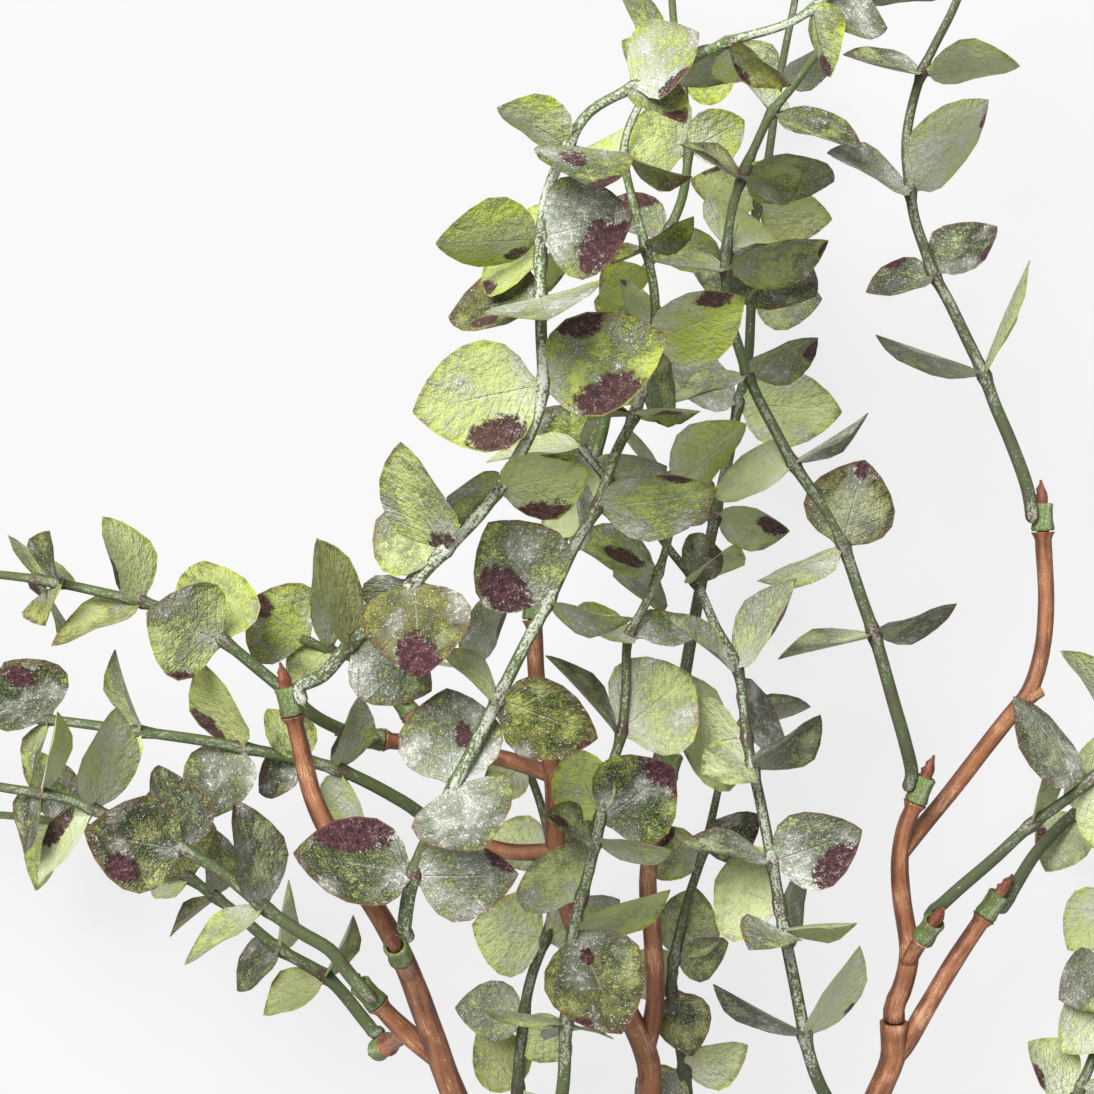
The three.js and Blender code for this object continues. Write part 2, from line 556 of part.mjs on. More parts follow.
// Closed blade: a rim of eight points, folded along the line from the sunk root to the tip
function makeBlade(leaf) {
  const root = leaf.root.clone().addScaledVector(leaf.along, LEAF_ROOT_START);
  const edge = (side) => [0, ...RIM_STATIONS].map((t) => leafPoint(leaf, t, side));
  const rim = [root, ...edge(-1), leafPoint(leaf, 1, 0), ...edge(1).reverse()];
  const count = rim.length;
  const tip = count / 2;
  const positions = [];
  [0.5, -0.5].forEach((share) => {
    rim.forEach((point) => {
      const shifted = point.clone().addScaledVector(leaf.face, LEAF_THICKNESS * share);
      positions.push(shifted.x, shifted.y, shifted.z);
    });
  });
  const triangles = [];
  for (let i = 0; i < count; i += 1) {
    const next = (i + 1) % count;
    if (i !== tip && next !== tip) {
      triangles.push(tip, i, next, tip + count, next + count, i + count);
    }
    triangles.push(i, i + count, next + count, i, next + count, next);
  }
  return makeSolid(positions, triangles);
}

// Leaf whose tip is seen at a place in the picture, rolled about its midrib
function leafFromPicture(node, [column, row, rise, roll, width]) {
  const tip = place([column, row, node.point.z + rise]);
  const along = tip.clone().sub(node.point);
  const length = along.length();
  along.normalize();
  const face = UP.clone().addScaledVector(along, -UP.dot(along)).normalize();
  face.applyAxisAngle(along, THREE.MathUtils.degToRad(roll));
  return { root: node.point, along, face, length, width: width ?? LEAF_WIDTH_RATIO * length };
}

// Repeatable draw between 0 and 1
function draw(seed) {
  const value = Math.sin(seed * DRAW_RATE) * DRAW_SCALE;
  return value - Math.floor(value);
}

// Opposite pair by rule: a quarter turn on from the pair before, smaller towards the tip
function pairByRule(node, index, seed) {
  const side = node.tangent.clone().cross(UP).normalize();
  const lift = side.clone().cross(node.tangent);
  const turn = THREE.MathUtils.degToRad(PAIR_TURN * index + TURN_SPREAD * draw(seed));
  const tilt = THREE.MathUtils.degToRad(PAIR_TILT + TILT_SPREAD * draw(seed + TILT_SEED));
  const length = LEAF_LENGTH * (FIRST_SHARE - SHARE_DROP * index);
  return [1, -1].map((sign) => {
    const out = side.clone().multiplyScalar(Math.cos(turn) * sign);
    out.addScaledVector(lift, Math.sin(turn) * sign);
    const along = out.multiplyScalar(Math.sin(tilt));
    along.addScaledVector(node.tangent, Math.cos(tilt)).normalize();
    const face = node.tangent.clone().addScaledVector(along, -node.tangent.dot(along));
    face.normalize();
    return { root: node.point, along, face, length, width: LEAF_WIDTH_RATIO * length };
  });
}

// Node on a stem: the sample of the curve nearest to a place in the picture
function nodeInPicture(samples, [column, row]) {
  let best = samples[0];
  let bestDistance = Infinity;
  samples.forEach((sample) => {
    const seen = place([column, row, sample.point.z]);
    const distance = seen.distanceToSquared(sample.point);
    if (distance < bestDistance) {
      bestDistance = distance;
      best = sample;
    }
  });
  return best;
}

// Points along the middle of the faceted bar that follows a curve
function sampleBar(curve, steps) {
  const corners = curve.getSpacedPoints(steps);
  const samples = [];
  for (let i = 0; i <= CURVE_SAMPLES; i += 1) {
    const fraction = i / CURVE_SAMPLES;
    const step = Math.min(Math.floor(fraction * steps), steps - 1);
    const point = corners[step].clone().lerp(corners[step + 1], fraction * steps - step);
    samples.push({ point, tangent: curve.getTangentAt(fraction) });
  }
  return samples;
}

// Peg seats: where each shoot's collar sits and which way the peg points
function findSeats() {
  const seats = {};
  TWIGS.forEach((twig) => {
    twig.arms.filter((arm) => arm.holds).forEach((arm) => {
      const points = arm.route.map(place);
      const end = points[points.length - 1];
      const axis = end.clone().sub(points[points.length - 2]).normalize();
      seats[arm.holds] = { end, axis };
    });
  });
  return seats;
}

// Stem curve of a shoot: it leaves the side of the collar and then follows its route
function shootCurve(shoot, seat) {
  const points = shoot.route.map(place);
  const toward = points[0].clone().sub(seat.end);
  const side = toward.addScaledVector(seat.axis, -toward.dot(seat.axis)).normalize();
  const offset = COLLAR_RADIUS + STEM_RADIUS * FOOT_SINK;
  const foot = seat.end.clone().addScaledVector(seat.axis, FOOT_HEIGHT);
  foot.addScaledVector(side, offset);
  const knee = seat.end.clone().addScaledVector(seat.axis, COLLAR_LENGTH);
  knee.addScaledVector(side, offset + KNEE_LEAN);
  return smoothCurve([foot, knee, ...points]);
}

function leafSamples(leaf) {
  const points = [];
  for (let row = 1; row <= SAMPLE_ROWS; row += 1) {
    for (let column = 0; column < SAMPLE_COLUMNS; column += 1) {
      const s = -1 + (2 * column) / (SAMPLE_COLUMNS - 1);
      points.push(leafPoint(leaf, row / SAMPLE_ROWS, s));
    }
  }
  return points;
}

// Whether a leaf keeps its distance from every stem and leaf that is already placed
function isClear(leaf, shootIndex, placed, stems) {
  const points = leafSamples(leaf);
  const centre = leafPoint(leaf, 0.5, 0);
  const reach = leaf.length * REACH_SHARE;
  const nearStem = stems.some((stem) => stem.owner !== shootIndex && stem.samples.some((sample) => {
    const limit = stem.radius + STEM_CLEARANCE;
    if (sample.point.distanceTo(centre) > reach + limit) return false;
    return points.some((point) => point.distanceToSquared(sample.point) < limit * limit);
  }));
  if (nearStem) return false;
  return !placed.some((other) => {
    if (other.leaf.root === leaf.root) return false;
    const limit = other.owner === shootIndex ? OWN_CLEARANCE : LEAF_CLEARANCE;
    if (other.centre.distanceTo(centre) > reach + other.reach + limit) return false;
    return other.points.some((a) => points.some((b) => a.distanceToSquared(b) < limit * limit));
  });
}

// The leaf swung up or down at its root, then spun round the stem
function swungLeaf(leaf, tangent, swing, spin) {
  const hinge = leaf.across;
  const along = leaf.along.clone().applyAxisAngle(hinge, THREE.MathUtils.degToRad(swing));
  const face = leaf.face.clone().applyAxisAngle(hinge, THREE.MathUtils.degToRad(swing));
  along.applyAxisAngle(tangent, THREE.MathUtils.degToRad(spin));
  face.applyAxisAngle(tangent, THREE.MathUtils.degToRad(spin));
  const across = face.clone().cross(along);
  return { ...leaf, along, face, across };
}

// Places a leaf at the first swing that is clear, or leaves it out where none is
function placeLeaf(draft, tangent, shootIndex, placed, stems) {
  const leaf = { ...draft, across: draft.face.clone().cross(draft.along) };
  for (const spin of SPINS) {
    for (const swing of SWINGS) {
      const candidate = swungLeaf(leaf, tangent, swing, spin);
      if (isClear(candidate, shootIndex, placed, stems)) {
        placed.push({
          leaf: candidate,
          owner: shootIndex,
          centre: leafPoint(candidate, 0.5, 0),
          reach: candidate.length * REACH_SHARE,
          points: leafSamples(candidate),
        });
        return;
      }
    }
  }
}

// All leaves of all shoots, front shoots first, each bent clear of what is placed before it
function placeLeaves(curves) {
  const stems = curves.map((curve, owner) => {
    const samples = sampleBar(curve, stepsFor(curve, STEM_STEP_LENGTH));
    return { owner, samples, radius: STEM_RADIUS };
  });
  TWIGS.forEach((twig) => twig.arms.forEach((arm) => {
    const curve = smoothCurve(arm.route.map(place));
    const samples = sampleBar(curve, stepsFor(curve, TWIG_STEP_LENGTH));
    stems.push({ owner: -1, samples, radius: (arm.radii[0] + arm.radii[1]) / 2 });
  }));
  const placed = [];
  SHOOTS.forEach((shoot, index) => {
    const samples = stems[index].samples;
    shoot.pairs.forEach((pair) => {
      const node = nodeInPicture(samples, pair.at);
      pair.leaves.forEach((entry) => {
        placeLeaf(leafFromPicture(node, entry), node.tangent, index, placed, stems);
      });
    });
    const fill = shoot.fill;
    for (let i = 0; fill && i < fill.count; i += 1) {
      const share = fill.count === 1 ? 1 : i / (fill.count - 1);
      const at = Math.round((fill.from + (fill.to - fill.from) * share) * CURVE_SAMPLES);
      const node = samples[Math.min(at, CURVE_SAMPLES - 1)];
      pairByRule(node, i, index * SEED_STEP + i).forEach((draft) => {
        placeLeaf(draft, node.tangent, index, placed, stems);
      });
    }
  });
  return placed;
}

// Collar ring around the peg, as its outer bar and the bore that is cut from it
function collarParts(seat) {
  const start = seat.end.clone().addScaledVector(seat.axis, GAP);
  const end = start.clone().addScaledVector(seat.axis, COLLAR_LENGTH);
  const below = start.clone().addScaledVector(seat.axis, -BORE_BELOW);
  const above = end.clone().addScaledVector(seat.axis, BORE_ABOVE);
  return {
    ring: makeRod(start, end, COLLAR_RADIUS, COLLAR_SIDES),
    bore: makeRod(below, above, COLLAR_BORE, COLLAR_SIDES),
  };
}

// The solid without what would reach below the surface
function trimAtSurface(solid) {
  const block = new THREE.BoxGeometry(FLOOR_WIDTH, FLOOR_LENGTH, FLOOR_DEPTH);
  block.translate(ORIGIN_X, ORIGIN_Y, -FLOOR_DEPTH / 2);
  return solid.subtract(solidFromGeometry(block));
}

// One leafy shoot: stem, collar and leaves fused, with the peg's bore cut through
function makeShoot(curve, seat, leaves) {
  const taper = (f) => STEM_RADIUS + (STEM_TIP_RADIUS - STEM_RADIUS) * f;
  const collar = collarParts(seat);
  let solid = makeBar(curve, taper, STEM_SIDES, stepsFor(curve, STEM_STEP_LENGTH));
  solid = solid.add(collar.ring);
  leaves.forEach((leaf) => {
    solid = solid.add(makeBlade(leaf));
  });
  return trimAtSurface(solid.subtract(collar.bore));
}

// Rings past the end of an arm: the lip that the collar rests on, the peg and its bud
function pegRings() {
  const pegTop = LIP_LENGTH + GAP + COLLAR_LENGTH + PEG_EXTRA;
  return [
    [LIP_LENGTH, LIP_RADIUS],
    [LIP_LENGTH, PEG_RADIUS],
    [pegTop, PEG_RADIUS],
    [pegTop + BUD_LENGTH, BUD_TIP_RADIUS],
  ];
}

// Blind hole in the end of an arm, which takes the next twig's plug
function socketHole(socket) {
  const bottom = socket.end.clone().addScaledVector(socket.axis, -PLUG_LENGTH - GAP);
  const top = socket.end.clone().addScaledVector(socket.axis, HOLE_ABOVE);
  return makeRod(bottom, top, SOCKET_RADIUS, TWIG_SIDES);
}

// Route of an arm: it stops short of its peg's lip, and a plugged foot starts in line
// with the socket
function armPoints(arm, socket) {
  const points = arm.route.map(place);
  const last = points.length - 1;
  if (arm.holds) {
    points[last] = points[last].clone().addScaledVector(SEATS[arm.holds].axis, -LIP_LENGTH);
  }
  if (socket) {
    const foot = socket.end.clone().addScaledVector(socket.axis, 2 * GAP);
    points.splice(0, 1, foot, foot.clone().addScaledVector(socket.axis, PLUG_LEAD));
  }
  return points;
}

// One brown piece: its arms fused, with pegs, socket holes and the plug at its foot
function makeTwig(twig, sockets) {
  let solid = null;
  const made = [];
  twig.arms.forEach((arm, index) => {
    const plugged = index === 0 && twig.plug;
    const foot = place(arm.route[0]);
    const socket = plugged ? sockets.find((entry) => entry.end.distanceTo(foot) < 1) : null;
    const points = armPoints(arm, socket);
    const curve = smoothCurve(points);
    const flare = arm.socket ? SLEEVE_EXTRA : 0;
    const [thick, thin] = arm.radii;
    const radius = (f) => thick + (thin - thick) * f + flare * f ** SLEEVE_POWER;
    const before = plugged ? [[PLUG_LENGTH, PLUG_RADIUS], [0, PLUG_RADIUS]] : [];
    const after = arm.holds ? pegRings() : [];
    const steps = stepsFor(curve, TWIG_STEP_LENGTH);
    const bar = makeBar(curve, radius, TWIG_SIDES, steps, before, after);
    solid = solid ? solid.add(bar) : bar;
    if (arm.socket) {
      const end = points[points.length - 1];
      made.push({ end, axis: end.clone().sub(points[points.length - 2]).normalize() });
    }
  });
  made.forEach((socket) => {
    solid = solid.subtract(socketHole(socket));
    sockets.push(socket);
  });
  return trimAtSurface(solid);
}

// Named mesh with its own material from a solid
function meshFrom(solid, name, colour, roughness) {
  const { vertProperties, triVerts } = solid.getMesh();
  const geometry = new THREE.BufferGeometry();
  geometry.setAttribute('position', new THREE.BufferAttribute(vertProperties, 3));
  geometry.setIndex(new THREE.BufferAttribute(triVerts, 1));
  geometry.computeVertexNormals();
  const material = new THREE.MeshStandardMaterial({ color: colour, roughness, metalness: 0 });
  const mesh = new THREE.Mesh(geometry, material);
  mesh.name = name;
  return mesh;
}

const SEATS = findSeats();

function buildBranch() {
  const group = new THREE.Group();
  const sockets = [];
  TWIGS.forEach((twig) => {
    group.add(meshFrom(makeTwig(twig, sockets), twig.name, TWIG_COLOUR, 0.6));
  });
  const curves = SHOOTS.map((shoot) => shootCurve(shoot, SEATS[shoot.name]));
  const placed = placeLeaves(curves);
  SHOOTS.forEach((shoot, index) => {
    const leaves = placed.filter((entry) => entry.owner === index).map((entry) => entry.leaf);
    const solid = makeShoot(curves[index], SEATS[shoot.name], leaves);
    group.add(meshFrom(solid, shoot.name, LEAF_COLOUR, 0.75));
  });
  group.position.set(-ORIGIN_X, -ORIGIN_Y, 0);
  return group;
}

const group = buildBranch();

export default group;
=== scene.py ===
"""Looks of an artificial eucalyptus branch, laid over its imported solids.

The branch lies on a pale surface and is seen from straight above. Every twig and leafy
shoot is worked out again from the routes and rules that place the solids, on finer grids,
and each one replaces its solid in the render.
"""

import logging
import math
from dataclasses import dataclass, field
from enum import Enum, IntEnum
from typing import Any, Iterable, Optional, Sequence, Union

import bpy
import numpy as np
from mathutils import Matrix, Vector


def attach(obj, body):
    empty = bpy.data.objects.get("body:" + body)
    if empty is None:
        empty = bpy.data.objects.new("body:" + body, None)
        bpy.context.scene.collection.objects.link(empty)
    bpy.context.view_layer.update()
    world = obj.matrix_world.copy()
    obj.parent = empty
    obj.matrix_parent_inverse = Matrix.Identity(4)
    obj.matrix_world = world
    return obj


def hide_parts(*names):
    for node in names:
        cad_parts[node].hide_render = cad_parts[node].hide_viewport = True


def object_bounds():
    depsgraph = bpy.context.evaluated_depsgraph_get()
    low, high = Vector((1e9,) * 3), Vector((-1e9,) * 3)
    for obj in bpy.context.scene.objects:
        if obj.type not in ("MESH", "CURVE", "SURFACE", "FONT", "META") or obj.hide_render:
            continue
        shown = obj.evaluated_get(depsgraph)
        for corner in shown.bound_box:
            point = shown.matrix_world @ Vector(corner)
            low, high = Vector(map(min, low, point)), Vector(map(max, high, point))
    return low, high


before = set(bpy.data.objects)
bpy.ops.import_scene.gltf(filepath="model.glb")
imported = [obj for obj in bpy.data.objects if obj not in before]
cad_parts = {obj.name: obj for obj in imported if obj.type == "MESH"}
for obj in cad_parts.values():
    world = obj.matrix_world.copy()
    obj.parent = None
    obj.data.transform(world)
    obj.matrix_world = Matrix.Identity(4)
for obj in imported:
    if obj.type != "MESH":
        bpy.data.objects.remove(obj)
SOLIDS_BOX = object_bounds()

LOG = logging.getLogger("branch")
MM = 0.001

# Viewpoint of the picture that the routes are read from (pixels and mm)
PICTURE_SIZE = 1094
PICTURE_CENTRE = 547
LENS_HEIGHT = 900.0
FOCAL_PIXELS = 3200.0
SENSOR_WIDTH = 36.0

# Middle of the branch on the surface, in the picture's own frame (mm)
ORIGIN = np.array([4.4, -75.1, 0.0])

# Sizes shared with the solids (mm)
LEAF_LENGTH = 27.0
LEAF_WIDTH_RATIO = 0.88
LEAF_DISH = 2.6
LEAF_NECK = 3.0
LEAF_ROOT_WIDTH = 1.2
LEAF_BASE_POWER = 0.5
LEAF_TIP_POWER = 0.8
STEM_RADIUS = 1.75
STEM_TIP_RADIUS = 0.9
STEM_STEP_LENGTH = 19.0
TWIG_STEP_LENGTH = 32.0
COLLAR_RADIUS = 3.3
COLLAR_LENGTH = 7.0
PEG_RADIUS = 1.6
BUD_LENGTH = 5.0
BUD_TIP_RADIUS = 0.5
LIP_RADIUS = 3.5
LIP_LENGTH = 2.0
GAP = 0.3
SOCKET_RADIUS = 2.6
PLUG_RADIUS = 1.9
PLUG_LENGTH = 9.0
SLEEVE_EXTRA = 1.0
FOOT_SINK = 0.4
FOOT_HEIGHT = 2.4
KNEE_OUT = 0.3

# Bend-clear rule, as for the solids
LEAF_CLEARANCE = 2.8
OWN_CLEARANCE = 1.3
STEM_CLEARANCE = 2.2
SAMPLE_ROWS = 9
SAMPLE_COLUMNS = 9
CURVE_SAMPLES = 240
LEAF_REACH = 0.6
SWINGS = (0, 7, -7, 14, -14, 22, -22, 32, -32, 44, -44, 56, -56)
SPINS = (0, 24, -24, 48, -48)

# Factors that scatter a seed into a draw, and a length that keeps a direction from being zero
DRAW_TURN = 12.9898
DRAW_SPREAD = 43758.5453
TINY = 1e-9

UP = np.array([0.0, 0.0, 1.0])
Place = tuple[float, float, float]


class Tone(Enum):
    """How fresh a shoot's green is, from grey to yellow-green."""

    GREY = 0.05
    MUTED = 0.3
    GREEN = 0.55
    FRESH = 0.85


class Shade(Enum):
    """How dark a leaf is; for listed leaves this holds painted shade as well as the leaf's own tone."""

    PALE = 0.15
    MIDDLE = 0.5
    DARK = 0.95


class Draw(IntEnum):
    """What each of a leaf's draws is for."""

    ARCH = 0
    CURL = 1
    WAVE = 2
    FRESH = 3
    LUCK = 4
    BLOTCHED = 5
    BLOTCH_REACH = 6
    BLOTCH_SIDE = 7
    DUST = 8


@dataclass(frozen=True)
class Arm:
    """One brown arm: its route, its first and last radius, and what its end takes."""

    route: tuple[Place, ...]
    radii: tuple[float, float]
    holds: str = ""
    socket: bool = False


@dataclass(frozen=True)
class TwigPlan:
    """One brown piece; a plugged one starts in another piece's socket."""

    name: str
    arms: tuple[Arm, ...]
    plug: bool = False


@dataclass(frozen=True)
class Pair:
    """Leaves at one node: its picture place, then tip place, rise, roll and width."""

    at: tuple[float, float]
    leaves: tuple[tuple[float, ...], ...]


@dataclass(frozen=True)
class Fill:
    """Pairs set by rule between two fractions of a route."""

    start: float
    end: float
    count: int


@dataclass(frozen=True)
class ShootPlan:
    """One leafy shoot: the route above its collar, its pairs and its fill."""

    name: str
    route: tuple[Place, ...]
    pairs: tuple[Pair, ...]
    fill: Optional[Fill] = None


# Routes as (column, row, height in mm), the same lists as the solids'
TWIGS = (
    TwigPlan("trunk", (
        Arm((
            (633, 1734, 5), (633, 1600, 9), (628, 1480, 20), (600, 1400, 40), (545, 1290, 72),
        ), (6.5, 4.6), socket=True),
        Arm((
            (628, 1490, 19), (640, 1430, 28), (642, 1370, 38),
        ), (5, 4.4), socket=True),
        Arm((
            (630, 1520, 16), (690, 1410, 32), (770, 1300, 50),
        ), (5.5, 4.6), socket=True),
    )),
    TwigPlan("twig_left", (
        Arm((
            (545, 1290, 72), (500, 1190, 95), (465, 1120, 108), (446, 1075, 115),
            (429, 1025, 124), (407, 968, 135), (384, 923, 137), (345, 860, 137),
            (315, 802, 136), (300, 745, 136), (293, 716, 137),
        ), (4.6, 2.4), holds="shoot_front_tall"),
        Arm((
            (409, 975, 134), (405, 966, 139), (401, 958, 143),
        ), (2.6, 2.4), holds="shoot_front_crossing"),
        Arm((
            (440, 1058, 118), (415, 1040, 118), (395, 1022, 120), (378, 1004, 122),
        ), (3.4, 2.6), holds="shoot_lower_left"),
        Arm((
            (404, 1030, 119), (398, 1038, 112), (388, 1044, 106),
        ), (2.8, 2.4), holds="shoot_lower_left_back"),
        Arm((
            (500, 1190, 95), (518, 1184, 95), (532, 1172, 95),
        ), (3, 2.4), holds="shoot_centre"),
    ), plug=True),
    TwigPlan("twig_middle", (
        Arm((
            (642, 1370, 38), (648, 1200, 54), (650, 1090, 62), (645, 1050, 66),
            (620, 1000, 70), (578, 935, 76), (557, 850, 80), (553, 775, 82), (538, 690, 82),
            (534, 620, 82),
        ), (4.4, 2.4), holds="shoot_back_centre"),
        Arm((
            (645, 1052, 66), (655, 1000, 66), (652, 930, 64), (648, 880, 62), (655, 820, 58),
            (666, 780, 55),
        ), (3, 2.4), holds="shoot_back_right"),
        Arm((
            (557, 852, 80), (512, 852, 77), (468, 842, 77),
        ), (2.6, 2.4), holds="shoot_left"),
        Arm((
            (553, 775, 82), (500, 758, 72), (430, 745, 66), (384, 740, 70),
        ), (2.6, 2.4), holds="shoot_upper_left"),
        Arm((
            (440, 750, 70), (424, 734, 66), (412, 716, 64),
        ), (2.4, 2.4), holds="shoot_left_short"),
        Arm((
            (647, 1215, 53), (666, 1192, 49), (680, 1176, 46),
        ), (2.8, 2.4), holds="shoot_back_low_right"),
        Arm((
            (646, 1250, 50), (600, 1232, 44), (550, 1200, 40),
        ), (3, 2.4), holds="shoot_back_low"),
    ), plug=True),
    TwigPlan("twig_right", (
        Arm((
            (770, 1300, 50), (840, 1180, 64), (866, 1120, 72), (884, 1080, 76),
            (893, 1055, 77), (894, 1022, 79),
        ), (4.6, 3.2), socket=True),
        Arm((
            (890, 1062, 77), (905, 1045, 77), (925, 1010, 79), (955, 960, 81), (984, 917, 83),
        ), (3, 2.5), holds="shoot_right_low"),
        Arm((
            (842, 1177, 65), (850, 1160, 70), (853, 1146, 77),
        ), (2.8, 2.4), holds="shoot_right_centre"),
        Arm((
            (800, 1248, 57), (880, 1240, 52), (950, 1212, 50), (985, 1188, 50),
        ), (3, 2.4), holds="shoot_corner"),
    ), plug=True),
    TwigPlan("twig_right_upper", (
        Arm((
            (894, 1022, 79), (903, 985, 80), (909, 950, 81), (902, 900, 82), (900, 860, 83),
            (905, 828, 84), (915, 803, 85),
        ), (3.2, 2.4), holds="shoot_right"),
        Arm((
            (907, 962, 81), (916, 948, 84), (923, 938, 87),
        ), (2.6, 2.3), holds="shoot_right_high"),
        Arm((
            (902, 852, 83), (924, 824, 78), (952, 790, 77), (980, 754, 80), (1010, 716, 83),
            (1030, 690, 85), (1042, 650, 84), (1046, 600, 84), (1043, 532, 84),
        ), (2.5, 2.4), holds="shoot_far_right"),
        Arm((
            (1028, 698, 85), (1036, 693, 85), (1042, 690, 85),
        ), (2.4, 1.8)),
    ), plug=True),
)

